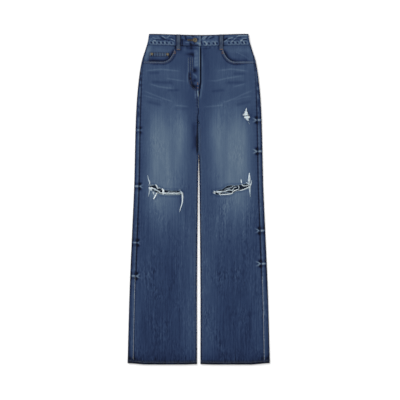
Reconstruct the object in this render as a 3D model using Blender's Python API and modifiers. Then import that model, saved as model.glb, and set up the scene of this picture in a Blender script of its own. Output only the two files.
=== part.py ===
"""Ripped wide-leg jeans laid flat, front up.

The garment lies in the XY plane with its waist towards +Y and the floor at Z = 0. The wearer's right side
is at -X. A place on it is given by x and by "down", its distance below the top of the waistband.
All sizes are in metres.
"""

import math
from bisect import bisect_right

import bmesh
import bpy
from mathutils import Vector

MM = 0.001

# Driving sizes of the garment
LENGTH = 1091 * MM
WAIST_DIP = 3.8 * MM  # the front of the waistband dips in the middle
HEM_LIFT_OUTER = 4.5 * MM
HEM_LIFT_INNER = 1.3 * MM
HEM_HEIGHT = 11 * MM
CROTCH_DOWN = 297 * MM
CROTCH_ROWS = [step * MM for step in (-24, -16, -12, -8, -5, -2, 1, 5, 10)]  # beside the crotch's own place
GAP = 0.3 * MM
HALF_GAP = GAP / 2
ROW_SPACING = 42 * MM
LEAST_SPACING = 2.5 * MM
ABOVE = 12 * MM  # the top of the cutters

# Thicknesses of the walls
PANEL_WALL = 1.0 * MM
SMALL_WALL = 1.0 * MM
BAND_WALL = 2.0 * MM
HEM_WALL = 2.0 * MM
LOOP_WALL = 1.4 * MM

# Heights of the outer faces above the floor. The back passes over the loops and pockets under it, and the
# front over the coin pocket and the facings.
SEAT_LIFT = SMALL_WALL + GAP
FACING_TOP = {
    "right": SEAT_LIFT + PANEL_WALL + GAP + SMALL_WALL,
    "left": SEAT_LIFT + PANEL_WALL + 2 * (GAP + SMALL_WALL),
}
HIP_TOP = FACING_TOP["left"] + GAP + PANEL_WALL
HIP_END = (240 * MM, 360 * MM)
LEG_TOP = 4.4 * MM
FLY_RISE = PANEL_WALL + GAP + 0.1 * MM

# Waistband, fly and centre front
BAND_HEIGHT = 36 * MM
BAND_FRONT_TOP = HIP_TOP + 1.0 * MM
BAND_OVERLAP_RISE = BAND_WALL + GAP
PANEL_START = BAND_HEIGHT + GAP + 0.2 * MM  # the waistband's flare takes the rest of the gap
FLY_EDGE = 2.5 * MM
CENTRE_SEAM = -0.6 * MM
UNDERLAP = 35 * MM
FLY_END = 180 * MM
LAP = 10.5 * MM

# Front pockets
SCOOP_TOP = (76.5 * MM, 34 * MM)
SCOOP_RADII = (40 * MM, 60.5 * MM)
SCOOP_FLOOR = 94.5 * MM
FACING_REACH = 10 * MM

# Outline of the garment: down, half width, and how far the outseam lies in from the fold
OUTLINE = [
    (0 * MM, 164.0 * MM, 3.0 * MM),
    (26 * MM, 168.0 * MM, 3.0 * MM),
    (53 * MM, 176.3 * MM, 3.6 * MM),
    (86 * MM, 186.8 * MM, 5.0 * MM),
    (139 * MM, 196.2 * MM, 8.5 * MM),
    (218 * MM, 203.8 * MM, 12.0 * MM),
    (320 * MM, 208.3 * MM, 14.0 * MM),
    (500 * MM, 212.5 * MM, 15.5 * MM),
    (640 * MM, 218.7 * MM, 16.0 * MM),
    (850 * MM, 227.7 * MM, 18.5 * MM),
    (1091 * MM, 234.3 * MM, 20.0 * MM),
]

# Space between the legs: down, and half of the space
LEG_SPACE = [
    (0 * MM, 0.2 * MM),
    (380 * MM, 0.2 * MM),
    (400 * MM, 0.2 * MM),
    (430 * MM, 0.6 * MM),
    (460 * MM, 1.8 * MM),
    (560 * MM, 3.1 * MM),
    (720 * MM, 5.2 * MM),
    (880 * MM, 6.1 * MM),
    (1091 * MM, 6.1 * MM),
]
INSEAM_IN = 4.8 * MM

# Tucks pressed into each outseam: down
TUCKS_RIGHT = [318 * MM, 503 * MM, 689 * MM, 799 * MM]
TUCKS_LEFT = [284.5 * MM, 387.5 * MM, 649.5 * MM, 758.5 * MM]
TUCK_HEIGHT = 1.3 * MM
TUCK_HOLLOW = 0.8 * MM
TUCK_HALF = 4.5 * MM
TUCK_SHAPE = (-4, -2, 0, 2, 4)  # the rows of a tuck, in half widths: flat, hollow, ridge, hollow, flat
TUCK_REACH = 36 * MM

# Long soft folds of the front: side, start x and down, end x and down, half width, height
FOLDS = [
    ("right", 168 * MM, 134 * MM, 92 * MM, 139 * MM, 7 * MM, 0.35 * MM),
    ("right", 170 * MM, 184 * MM, 44 * MM, 190 * MM, 8 * MM, 0.4 * MM),
    ("right", 176 * MM, 212 * MM, 96 * MM, 232 * MM, 9 * MM, 0.45 * MM),
    ("right", 186 * MM, 240 * MM, 60 * MM, 268 * MM, 9 * MM, 0.45 * MM),
    ("right", 96 * MM, 400 * MM, 104 * MM, 470 * MM, 16 * MM, 0.4 * MM),
    ("right", 110 * MM, 620 * MM, 104 * MM, 900 * MM, 22 * MM, 0.45 * MM),
    ("left", 172 * MM, 131 * MM, 90 * MM, 139 * MM, 7 * MM, 0.35 * MM),
    ("left", 176 * MM, 176 * MM, 52 * MM, 191 * MM, 8 * MM, 0.4 * MM),
    ("left", 184 * MM, 206 * MM, 100 * MM, 232 * MM, 9 * MM, 0.45 * MM),
    ("left", 188 * MM, 240 * MM, 70 * MM, 270 * MM, 9 * MM, 0.45 * MM),
    ("left", 104 * MM, 400 * MM, 112 * MM, 480 * MM, 16 * MM, 0.4 * MM),
    ("left", 112 * MM, 640 * MM, 100 * MM, 920 * MM, 22 * MM, 0.45 * MM),
]

# Rips: x, upper edge and lower edge, both as down
KNEE_RIP_RIGHT = [
    (-162 * MM, 503 * MM, 507 * MM),
    (-152 * MM, 498 * MM, 516 * MM),
    (-140 * MM, 499 * MM, 524 * MM),
    (-127 * MM, 510 * MM, 529 * MM),
    (-105 * MM, 517 * MM, 532 * MM),
    (-75 * MM, 517 * MM, 532 * MM),
    (-56 * MM, 520 * MM, 531 * MM),
    (-52 * MM, 524 * MM, 527 * MM),
]
KNEE_RIP_LEFT = [
    (47 * MM, 521 * MM, 524 * MM),
    (57 * MM, 517 * MM, 530 * MM),
    (76 * MM, 514 * MM, 531 * MM),
    (92 * MM, 502 * MM, 532 * MM),
    (109 * MM, 499 * MM, 530 * MM),
    (122 * MM, 501 * MM, 519 * MM),
    (145 * MM, 496 * MM, 515 * MM),
    (162 * MM, 494 * MM, 511 * MM),
    (170 * MM, 500 * MM, 506 * MM),
]
THIGH_RIP = [
    (146.4 * MM, 265.5 * MM, 268 * MM),
    (149.7 * MM, 260.5 * MM, 276.5 * MM),
    (156.6 * MM, 244 * MM, 283.5 * MM),
    (161.9 * MM, 259.5 * MM, 286 * MM),
    (166.2 * MM, 267.5 * MM, 286.5 * MM),
    (169.1 * MM, 271.5 * MM, 274 * MM),
]
STRAND = 0.6 * MM  # half thickness of a bundle of loose yarns
YARN_LEVEL = LEG_TOP - PANEL_WALL / 2
TAIL_LEVEL = LEG_TOP + 0.5 * MM + GAP + STRAND

# Button, rivets and belt loops
BUTTON_X = -11.4 * MM
BUTTON_DOWN = 20.5 * MM
BUTTON_RADIUS = 8.5 * MM
SHANK_RADIUS = 2.4 * MM
SLOT_LENGTH = 22 * MM
RIVET_RADIUS = 4.6 * MM
COIN = (97 * MM, 163 * MM)
COIN_TOP = 61 * MM
COIN_RIVET_DOWN = 66.5 * MM
COIN_RIVETS = (102.5 * MM, 154.5 * MM)
LOOP_WIDTH = 12.5 * MM
LOOP_LENGTH = 49 * MM
FRONT_LOOPS = {"right": -66 * MM, "left": 73.5 * MM}
BACK_LOOPS = {"right": -98 * MM, "centre": 0.0, "left": 98 * MM}

# Seat
YOKE_SIDE = 78 * MM
YOKE_CENTRE = 106 * MM
SEAT_POCKET_X = (38 * MM, 168 * MM)
SEAT_POCKET_DOWN = (144 * MM, 286 * MM)
SEAT_MARGIN = 17 * MM
SEAT_RAMP = 20 * MM

DENIM = (0.075, 0.115, 0.195, 1.0)
DENIM_DARK = (0.045, 0.07, 0.13, 1.0)
YARN = (0.72, 0.74, 0.70, 1.0)
BRASS = (0.52, 0.38, 0.17, 1.0)
TAPE = (0.03, 0.04, 0.08, 1.0)


# Small helpers for curves and heights


def ease(start, end, value):
    """Goes smoothly from 0 at start to 1 at end."""
    share = min(1.0, max(0.0, (value - start) / (end - start)))
    return share * share * (3 - 2 * share)


def along(table, column, value):
    """A smooth curve through a table's rows: its column, where the first column is value."""
    places = [row[0] for row in table]
    i = min(max(bisect_right(places, value) - 1, 0), len(table) - 2)

    def slope(k):
        low, high = max(k - 1, 0), min(k + 1, len(table) - 1)
        return (table[high][column] - table[low][column]) / (places[high] - places[low])

    step = places[i + 1] - places[i]
    t = min(max((value - places[i]) / step, 0.0), 1.0)
    a, b = table[i][column], table[i + 1][column]
    return (
        a * (1 + 2 * t) * (1 - t) ** 2
        + slope(i) * step * t * (1 - t) ** 2
        + b * t * t * (3 - 2 * t)
        + slope(i + 1) * step * t * t * (t - 1)
    )


def half_width(down):
    return along(OUTLINE, 1, down)


def seam_x(down):
    """Distance of the outseam from the middle of the garment."""
    return half_width(down) - along(OUTLINE, 2, down)


def inner_x(down):
    """Distance of a leg's inner fold from the middle of the garment."""
    return along(LEG_SPACE, 1, down)


def straight(table, column, value):
    """A table's column where the first column is value, along straight lines between the rows."""
    for low, high in zip(table, table[1:]):
        if low[0] <= value <= high[0]:
            share = (value - low[0]) / (high[0] - low[0])
            return low[column] + (high[column] - low[column]) * share
    raise ValueError("outside the table")


def place_y(x, down):
    """Where a row lies on the floor. Rows follow the dip of the waist at the top and the hem's curve below."""
    waist = WAIST_DIP * ease(half_width(0), 0, abs(x))
    outer = ease(66 * MM, 0, half_width(down) - abs(x)) * HEM_LIFT_OUTER
    inner = ease(50 * MM, 0, abs(x)) * HEM_LIFT_INNER
    near_hem = ease(LENGTH - 0.14, LENGTH, down)
    return LENGTH / 2 - down - waist * ease(0.26, 0, down) + (outer + inner) * near_hem


def hip(down):
    """1 over the hips, where the pockets thicken the garment, and 0 down the legs."""
    return ease(HIP_END[1], HIP_END[0], down)


def fold_height(side, x, down):
    """Height that the long soft folds add at a place on the front."""
    total = 0.0
    for fold_side, x0, d0, x1, d1, half, height in FOLDS:
        if fold_side != side:
            continue
        run = Vector((x1 - x0, d1 - d0))
        to = Vector((x - x0, down - d0))
        share = to.dot(run) / run.length_squared
        across = (to - run * min(max(share, 0.0), 1.0)).length
        ends = ease(-0.15, 0.25, share) * ease(1.15, 0.75, share)
        total += height * ends * math.exp(-((across / half) ** 2))
    return total


def tuck_height(side, x, down):
    """Height of the pinched tucks that cross the outseam, with a hollow above and below each."""
    total = 0.0
    from_fold = half_width(down) - x
    reach = ease(TUCK_REACH, 6 * MM, from_fold)
    for tuck in TUCKS_RIGHT if side == "right" else TUCKS_LEFT:
        u = (down - tuck) / TUCK_HALF
        ridge = TUCK_HEIGHT * math.exp(-u * u)
        hollow = TUCK_HOLLOW * math.exp(-((abs(u) - TUCK_SHAPE[3]) ** 2))
        total += (ridge - hollow) * reach
    return total


def front_top(side, x, down):
    """Height of the front's outer face, x measured outwards from the middle."""
    height = LEG_TOP + (HIP_TOP - LEG_TOP) * hip(down)
    height += fold_height(side, x, down) * ease(0, 30 * MM, seam_x(down) - x)
    height += tuck_height(side, x, down)
    if side == "right":
        near_fly = ease(50 * MM, 17 * MM, x) * ease(245 * MM, 205 * MM, down)
        height += FLY_RISE * near_fly
    return height


def seat_bottom(x, down):
    """Height of the back's outer face: it is lifted over the belt loops and the seat pockets."""
    beside = max(x - SEAT_POCKET_X[1], 0.0) * ease(90 * MM, 150 * MM, down)
    below = max(down - SEAT_POCKET_DOWN[1], 0.0)
    return SEAT_LIFT * ease(SEAT_MARGIN + SEAT_RAMP, SEAT_MARGIN, math.hypot(beside, below))


# Making objects


def collection_named(name):
    made = bpy.data.collections.new(name)
    bpy.context.scene.collection.children.link(made)
    return made


def material_named(name, colour, roughness=0.85, metallic=0.0):
    made = bpy.data.materials.new(name)
    made.use_nodes = True
    shader = made.node_tree.nodes["Principled BSDF"]
    shader.inputs["Base Color"].default_value = colour
    shader.inputs["Roughness"].default_value = roughness
    shader.inputs["Metallic"].default_value = metallic
    made.diffuse_color = colour
    return made


def object_from(bm, name, material, collection):
    mesh = bpy.data.meshes.new(name)
    bm.to_mesh(mesh)
    bm.free()
    made = bpy.data.objects.new(name, mesh)
    collection.objects.link(made)
    if material:
        mesh.materials.append(material)
    return made


def surface(rows, turned):
    """An open surface through rows of points. turned makes its faces point the other way."""
    bm = bmesh.new()
    verts = [[bm.verts.new(p) for p in row] for row in rows]
    for upper, lower in zip(verts, verts[1:]):
        for j in range(len(upper) - 1):
            corners = [upper[j], lower[j], lower[j + 1], upper[j + 1]]
            bm.faces.new(corners[::-1] if turned else corners)
    return bm


def wall(name, rows, thickness, material, turned=False):
    """A cloth wall: the open surface is its outer face, and Solidify adds the thickness inwards."""
    made = object_from(surface(rows, turned), name, material, PARTS)
    solid = made.modifiers.new("wall", "SOLIDIFY")
    solid.thickness = thickness
    solid.offset = -1
    for polygon in made.data.polygons:
        polygon.use_smooth = True
    return made


def prism(name, outline, low, high, material=None, collection=None):
    """A flat outline, points as (x, y), between two heights."""
    bm = bmesh.new()
    face = bm.faces.new([bm.verts.new((x, y, low)) for x, y in outline])
    face.normal_update()
    if face.normal.z > 0:
        bmesh.ops.reverse_faces(bm, faces=[face])
    raised = bmesh.ops.extrude_face_region(bm, geom=[face], use_keep_orig=True)
    top = [v for v in raised["geom"] if isinstance(v, bmesh.types.BMVert)]
    bmesh.ops.translate(bm, vec=(0, 0, high - low), verts=top)
    bmesh.ops.recalc_face_normals(bm, faces=bm.faces)
    return object_from(bm, name, material, collection or PARTS)


def cut(target, cutter):
    """Cuts a cutter out of a part and keeps the cutter as a hidden guide."""
    cutter.hide_render = True
    cutter.display_type = "WIRE"
    hole = target.modifiers.new("cut " + cutter.name, "BOOLEAN")
    hole.operation = "DIFFERENCE"
    hole.object = cutter


def turned_piece(name, profile, x, down, z, material, steps=20):
    """A turned piece from its profile, (radius, height) from the top of its axis, down its outer side."""
    bm = bmesh.new()
    points = [bm.verts.new((r, 0, h)) for r, h in profile]
    for a, b in zip(points, points[1:]):
        bm.edges.new((a, b))
    made = object_from(bm, name, material, PARTS)
    made.location = (x, place_y(x, down), z)
    screw = made.modifiers.new("turn", "SCREW")
    screw.steps = steps
    screw.render_steps = steps
    screw.use_merge_vertices = True
    screw.merge_threshold = 0.00002
    return made


# Body of the garment


def seam_rows(side):
    """Rows that the pieces of a leg share along their seams, closer at the crotch and at the tucks."""
    first, last = PANEL_START, LENGTH - HEM_HEIGHT - GAP
    count = round((last - first) / ROW_SPACING)
    close = {first, YOKE_SIDE, last}
    close |= {CROTCH_DOWN + step for step in CROTCH_ROWS}
    for tuck in TUCKS_RIGHT if side == "right" else TUCKS_LEFT:
        close |= {tuck + step * TUCK_HALF for step in TUCK_SHAPE}
    even = [first + (last - first) * i / count for i in range(count + 1)]
    wanted = sorted(close | {d for d in even if all(abs(d - c) > ROW_SPACING / 3 for c in close)})
    rows = wanted[:1]
    for down in wanted[1:]:
        if down - rows[-1] > LEAST_SPACING:
            rows.append(down)
    return rows


FRONT_COLUMNS = (0, 0.07, 0.17, 0.3, 0.45, 0.6, 0.75, 0.87, 0.94, 1)


def front_inner(side, down):
    """Signed x of the front panel's inner edge: the fly, the centre seam, then the inseam."""
    sign = -1 if side == "right" else 1
    centre = FLY_EDGE + (CENTRE_SEAM - FLY_EDGE) * ease(0.03, 0.215, down)
    edge = centre - HALF_GAP if side == "right" else centre + HALF_GAP
    if side == "left":
        edge -= LAP * ease(FLY_END + 12 * MM, FLY_END, down)
    inseam = sign * (inner_x(down) + INSEAM_IN)
    return edge + (inseam - edge) * ease(CROTCH_DOWN + CROTCH_ROWS[1], CROTCH_DOWN + CROTCH_ROWS[4], down)


def front_panel(side, material):
    sign = -1 if side == "right" else 1
    rows = []
    for down in seam_rows(side):
        inner = front_inner(side, down)
        outer = sign * (seam_x(down) - HALF_GAP)
        row = []
        for share in FRONT_COLUMNS:
            x = inner + (outer - inner) * share
            row.append((x, place_y(x, down), front_top(side, x * sign, down)))
        rows.append(row)
    return wall(f"front_{side}", rows, PANEL_WALL, material, turned=side == "right")


def scoop_cutter(side):
    """The curved opening of a front pocket, from the waistband round to the outseam."""
    sign = -1 if side == "right" else 1
    x0, d0 = SCOOP_TOP
    a, b = SCOOP_RADII
    curve = []
    for i in range(11):
        angle = math.radians(90 * i / 10)
        curve.append((x0 + a * (1 - math.cos(angle)), d0 + b * math.sin(angle)))
    beyond = half_width(SCOOP_FLOOR) + 20 * MM
    outline = [(x0, 20 * MM), *curve, (beyond, SCOOP_FLOOR), (beyond, 20 * MM)]
    points = [(sign * x, place_y(x, down)) for x, down in outline]
    return prism(f"scoop_cutter_{side}", points, HIP_TOP - 1.5 * PANEL_WALL, ABOVE, None, CUTTERS)


def rip_cutter(name, rip):
    """A rip's ragged opening, through the front only."""
    upper = [(x, place_y(x, top)) for x, top, _ in rip]
    lower = [(x, place_y(x, bottom)) for x, _, bottom in rip]
    return prism(name, upper + lower[::-1], LEG_TOP - 1.8 * PANEL_WALL, ABOVE, None, CUTTERS)


ARC_STEPS = 4
FLOOR_COLUMNS = (0.1, 0.4, 0.7)


def back_section(side, down):
    """Points (x, z) of the back's outer face at one height, from the outseam round the fold, along the floor
    and, below the crotch, round the inner fold to the inseam. x is measured outwards."""
    seam = seam_x(down) + HALF_GAP
    edge = half_width(down)
    top = front_top(side, seam, down)
    base = seat_bottom(edge, down)
    radius = (top - base) / 2
    points = [(seam, top)]
    start = max(edge - radius, seam + 0.3 * MM)
    for i in range(ARC_STEPS + 1):
        angle = math.pi * i / ARC_STEPS
        x = start + (edge - start) * math.sin(angle)
        points.append((x, base + radius + radius * math.cos(angle)))
    return points + inner_tail(side, down, start)


def curled(down):
    """How far the back has come round the inner fold: from 0 above the crotch to 1 below it."""
    return ease(CROTCH_DOWN + CROTCH_ROWS[1], CROTCH_DOWN + CROTCH_ROWS[-2], down)


def inner_tail(side, down, start):
    """The floor of a section from start inwards, and its curl round the inner fold, as far as it has come."""
    inner = inner_x(down)
    top = front_top(side, inner + INSEAM_IN, down)
    base = seat_bottom(inner, down)
    radius = (top - base) / 2
    strip = INSEAM_IN - GAP - radius
    reach = strip + math.pi * radius
    short = 1 - curled(down)
    end_angle = max((short * reach - strip) / radius, math.pi / 2)
    fold = inner - radius * (1 - math.sin(end_angle))
    tail_points = []
    for length in (0, strip, *(strip + math.pi * radius * k / 3 for k in (1, 2, 3))):
        length += short * reach
        if length < strip:
            spot = (fold + radius + strip - length, top)
        elif length < reach:
            angle = (length - strip) / radius
            spot = (fold + radius * (1 - math.sin(angle)), base + radius * (1 + math.cos(angle)))
        else:
            x = fold + radius + length - reach
            spot = (x, seat_bottom(x, down))
        tail_points.append(spot)
    last = tail_points[-1][0]
    floor = [start + (last - start) * share for share in FLOOR_COLUMNS]
    return [(x, seat_bottom(x, down)) for x in floor] + tail_points[::-1]


def yoke_down(x):
    """The yoke seam, higher at the side than at the centre back."""
    return YOKE_CENTRE + (YOKE_SIDE - YOKE_CENTRE) * min(1.0, abs(x) / half_width(YOKE_SIDE))


def slanted_point(side, x, z, down, slant):
    """A point of the back's outer face, moved down by slant. On the floor side its height follows."""
    sign = -1 if side == "right" else 1
    moved = down + slant
    if abs(z - seat_bottom(x, down)) < 0.01 * MM:
        z = seat_bottom(x, moved)
    return (sign * x, place_y(x, moved), z)


def yoke(side, material):
    """The lowest row of the yoke follows its slanted seam, and its top row the waistband."""
    last = YOKE_SIDE - HALF_GAP
    downs = [d for d in seam_rows(side) if d < YOKE_SIDE] + [last]
    rows = []
    for down in downs:
        share = ease(downs[0], last, down)
        rows.append(
            [
                slanted_point(side, x, z, down, (yoke_down(x) - YOKE_SIDE) * share)
                for x, z in back_section(side, down)
            ]
        )
    return wall(f"yoke_{side}", rows, PANEL_WALL, material, turned=side == "right")


def back_panel(side, material):
    """The top row of the back follows the yoke seam, and its rows level out below it."""
    first = YOKE_SIDE + HALF_GAP
    rows = []
    for down in [first] + [d for d in seam_rows(side) if d > YOKE_SIDE]:
        share = ease(240 * MM, first, down)
        rows.append(
            [
                slanted_point(side, x, z, down, (yoke_down(x) - YOKE_SIDE) * share)
                for x, z in back_section(side, down)
            ]
        )
    return wall(f"back_{side}", rows, PANEL_WALL, material, turned=side == "right")


def hem(side, material):
    """The turned-up hem of a leg: a closed flat ring, thicker than the panels that it meets."""
    sign = -1 if side == "right" else 1
    rows = []
    for down in (LENGTH - HEM_HEIGHT, LENGTH - HEM_HEIGHT / 2, LENGTH):
        edge, inner = half_width(down), inner_x(down)
        top = LEG_TOP + 0.4 * MM
        radius = top / 2
        ring = []
        for i in range(7):
            angle = math.pi * i / 6
            ring.append((edge - radius + radius * math.sin(angle), radius + radius * math.cos(angle)))
        for i in range(1, 9):
            ring.append((edge - radius + (inner + 2 * radius - edge) * i / 9, 0.0))
        for i in range(7):
            angle = math.pi * i / 6
            ring.append((inner + radius - radius * math.sin(angle), radius - radius * math.cos(angle)))
        for i in range(1, 9):
            ring.append((inner + radius + (edge - 2 * radius - inner) * i / 9, top))
        rows.append([(sign * x, place_y(x, down), z) for x, z in ring + ring[:1]])
    made = wall(f"hem_{side}", rows, HEM_WALL, material, turned=side == "right")
    weld = made.modifiers.new("close the ring", "WELD")
    weld.merge_threshold = 0.00002
    made.modifiers.move(1, 0)
    return made


# Waistband and what is on it


def band_path(down):
    """Points (x, z) of the waistband's outer face, from the end that lies under, round the back, to the end
    that lies over it."""
    edge = half_width(down)
    low, high = SEAT_LIFT, BAND_FRONT_TOP
    radius = (high - low) / 2
    under_end = FLY_EDGE - UNDERLAP
    across = edge - radius
    path = []
    for i in range(9):
        path.append((under_end + (across - under_end) * i / 9, high))
    for i in range(7):
        angle = math.pi * i / 6
        path.append((across + radius * math.sin(angle), low + radius + radius * math.cos(angle)))
    for i in range(1, 12):
        path.append((across - 2 * across * i / 12, low))
    for i in range(7):
        angle = math.pi * i / 6
        path.append((-across - radius * math.sin(angle), low + radius - radius * math.cos(angle)))
    ramp = (-78 * MM, -41 * MM)
    for x in (-140 * MM, -110 * MM, ramp[0], -66 * MM, -59 * MM, -52 * MM, ramp[1], -20 * MM, FLY_EDGE):
        path.append((x, high + BAND_OVERLAP_RISE * ease(*ramp, x)))
    return path


def band_top(x):
    """Height of the waistband's front at a signed x."""
    if x > FLY_EDGE:
        return BAND_FRONT_TOP
    return BAND_FRONT_TOP + BAND_OVERLAP_RISE * ease(-78 * MM, -41 * MM, x)


def waistband(material):
    rows = []
    for i in range(4):
        down = BAND_HEIGHT * i / 3
        rows.append([(x, place_y(x, down), z) for x, z in band_path(down)])
    return wall("waistband", rows, BAND_WALL, material)


def buttonhole_cutter():
    """A keyhole: a round end for the button's shank and a slot towards the wearer's right."""
    y = place_y(BUTTON_X, BUTTON_DOWN)
    radius = SHANK_RADIUS + 0.5 * MM
    slot = 0.9 * MM
    outline = []
    for i in range(13):
        angle = math.radians(-160 + 320 * i / 12)
        outline.append((BUTTON_X + radius * math.cos(angle), y + radius * math.sin(angle)))
    outline += [(BUTTON_X - SLOT_LENGTH, y + slot), (BUTTON_X - SLOT_LENGTH, y - slot)]
    return prism("buttonhole_cutter", outline, BAND_FRONT_TOP + HALF_GAP, ABOVE, None, CUTTERS)


def button(material):
    """A tack button: a shank that stands on the band under it, and a domed head over the buttonhole."""
    base = BAND_FRONT_TOP + GAP
    head = BAND_WALL + 2 * GAP
    profile = [
        (0, head + 3.4 * MM),
        (3.2 * MM, head + 3.3 * MM),
        (5.6 * MM, head + 2.9 * MM),
        (6.6 * MM, head + 2.5 * MM),
        (7.4 * MM, head + 2.7 * MM),
        (8.2 * MM, head + 2.2 * MM),
        (BUTTON_RADIUS, head + 1.3 * MM),
        (8.2 * MM, head + 0.5 * MM),
        (7.2 * MM, head),
        (SHANK_RADIUS, head),
        (SHANK_RADIUS, 0),
        (0, 0),
    ]
    return turned_piece("button", profile, BUTTON_X, BUTTON_DOWN, base, material, 28)


def rivet(name, x, down, z, material):
    profile = [
        (0, 1.5 * MM),
        (1.6 * MM, 1.4 * MM),
        (2.0 * MM, 1.0 * MM),
        (3.2 * MM, 1.1 * MM),
        (4.3 * MM, 0.8 * MM),
        (RIVET_RADIUS, 0.3 * MM),
        (RIVET_RADIUS, 0),
        (0, 0),
    ]
    return turned_piece(name, profile, x, down, z, material, 20)


def front_loop(side, material):
    """A belt loop on the front: tacked at both ends, and standing off the waistband between them."""
    middle = FRONT_LOOPS[side]
    sign = -1 if side == "right" else 1
    corners = [middle - LOOP_WIDTH / 2, middle + LOOP_WIDTH / 2]
    on_band = max(band_top(x) for x in corners) + GAP + LOOP_WALL
    below = max(front_top(side, sign * x, 44 * MM) for x in corners) + GAP + LOOP_WALL
    stations = [
        (0.5 * MM, on_band),
        (7 * MM, on_band + 0.2 * MM),
        (14 * MM, on_band + 0.9 * MM),
        (22 * MM, on_band + 1.1 * MM),
        (30 * MM, on_band + 0.8 * MM),
        (36.5 * MM, on_band + 0.1 * MM),
        (41 * MM, below + (on_band - below) * 0.35),
        (45 * MM, below),
        (LOOP_LENGTH, below),
    ]
    columns = [middle + LOOP_WIDTH * share for share in (-0.5, -0.3, 0, 0.3, 0.5)]
    crown = (-0.25 * MM, 0, 0.12 * MM, 0, -0.25 * MM)
    rows = []
    for down, z in stations:
        lift = [0.25 * MM + c for c in crown]
        rows.append([(x, place_y(x, down), z + up) for x, up in zip(columns, lift)])
    return wall(f"belt_loop_front_{side}", rows, LOOP_WALL, material)


def back_loop(side, material):
    """A belt loop of the back, pressed flat under the waistband."""
    middle = BACK_LOOPS[side]
    left, right = middle - LOOP_WIDTH / 2, middle + LOOP_WIDTH / 2
    upper, lower = 0.5 * MM, LOOP_LENGTH
    outline = [
        (left, place_y(left, upper)),
        (right, place_y(right, upper)),
        (right, place_y(right, lower)),
        (left, place_y(left, lower)),
    ]
    return prism(f"belt_loop_back_{side}", outline, 0, SMALL_WALL, material)


# Pockets and fly


def facing_top(side, x, down):
    """Outer face of the cloth that shows inside a front pocket's opening."""
    to_band = ease(60 * MM, 38 * MM, down) * ease(79 * MM, 97 * MM, x)
    seam = seam_x(down)
    to_seam = ease(seam - 28 * MM, seam - 2 * MM, x) * ease(91 * MM, 76 * MM, down)
    low = FACING_TOP[side]
    return low + (HIP_TOP - low) * max(to_band, to_seam)


def pocket_facing(side, material):
    sign = -1 if side == "right" else 1
    first, last = PANEL_START, SCOOP_FLOOR + FACING_REACH
    rows = []
    for i in range(9):
        down = first + (last - first) * i / 8
        inner, outer = SCOOP_TOP[0] - FACING_REACH, seam_x(down) - 0.9 * MM
        row = []
        for share in (0, 0.15, 0.3, 0.45, 0.6, 0.74, 0.84, 0.93, 1):
            x = inner + (outer - inner) * share
            row.append((sign * x, place_y(x, down), facing_top(side, x, down)))
        rows.append(row)
    return wall(f"pocket_facing_{side}", rows, SMALL_WALL, material, turned=side == "right")


def coin_pocket(material):
    """The small pocket that lies on the right pocket's facing: the facing's points, moved out."""
    rows = []
    for i in range(6):
        down = COIN_TOP + (SCOOP_FLOOR + FACING_REACH - 1.5 * MM - COIN_TOP) * i / 5
        row = []
        for j in range(8):
            x = COIN[0] + (COIN[1] - COIN[0]) * j / 7
            z = facing_top("right", x, down) + GAP + SMALL_WALL
            row.append((-x, place_y(x, down), z))
        rows.append(row)
    return wall("coin_pocket", rows, SMALL_WALL, material, turned=True)


def seat_pocket(side, material):
    """A patch pocket of the seat, pressed flat between the back panel and the floor."""
    sign = -1 if side == "right" else 1
    (x0, x1), (top, tip) = SEAT_POCKET_X, SEAT_POCKET_DOWN
    middle = (x0 + x1) / 2
    outline = [
        (x0, top),
        (x1, top - 4 * MM),
        (x1 - 6 * MM, tip - 24 * MM),
        (middle, tip),
        (x0 + 6 * MM, tip - 24 * MM),
    ]
    points = [(sign * x, place_y(x, down)) for x, down in outline]
    return prism(f"back_pocket_{side}", points, 0, SMALL_WALL, material)


def zip_strip(material):
    """The closed zip behind the fly, beside the left front's edge: its tape and its chain."""
    base = HIP_TOP - PANEL_WALL
    right = CENTRE_SEAM - LAP - GAP - HALF_GAP
    left = right - 19 * MM
    chain = (left + right) / 2
    profile = [
        (left, base),
        (right, base),
        (right, base + 0.6 * MM),
        (chain + 2.5 * MM, base + 0.6 * MM),
        (chain + 2.0 * MM, base + 1.0 * MM),
        (chain - 2.0 * MM, base + 1.0 * MM),
        (chain - 2.5 * MM, base + 0.6 * MM),
        (left, base + 0.6 * MM),
    ]
    bm = bmesh.new()
    ends = []
    for down in (BAND_HEIGHT + 2 * MM, FLY_END - 4 * MM):
        ends.append([bm.verts.new((x, place_y(chain, down), z)) for x, z in profile])
    bm.faces.new(ends[0])
    bm.faces.new(ends[1][::-1])
    for i in range(len(profile)):
        k = (i + 1) % len(profile)
        bm.faces.new([ends[0][k], ends[0][i], ends[1][i], ends[1][k]])
    bmesh.ops.recalc_face_normals(bm, faces=bm.faces)
    return object_from(bm, "zip", material, PARTS)


# Loose yarns in the rips


def strand_mesh(name, points):
    """One bundle of yarns: a thin four-sided tube through its points (x, down, z), made a mesh."""
    curve = bpy.data.curves.new(name, "CURVE")
    curve.dimensions = "3D"
    curve.bevel_depth = STRAND
    curve.bevel_resolution = 0
    curve.use_fill_caps = True
    spline = curve.splines.new("POLY")
    spline.points.add(len(points) - 1)
    for spot, (x, down, z) in zip(spline.points, points):
        spot.co = (x, place_y(x, down), z, 1)
    drawn = bpy.data.objects.new(name, curve)
    CUTTERS.objects.link(drawn)
    graph = bpy.context.evaluated_depsgraph_get()
    mesh = bpy.data.meshes.new_from_object(drawn.evaluated_get(graph))
    bpy.data.objects.remove(drawn)
    bm = bmesh.new()
    bm.from_mesh(mesh)
    bmesh.ops.remove_doubles(bm, verts=bm.verts, dist=0.00001)
    bmesh.ops.recalc_face_normals(bm, faces=bm.faces)
    made = object_from(bm, name, None, CUTTERS)
    made.hide_render = True
    made.display_type = "WIRE"
    return made


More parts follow.
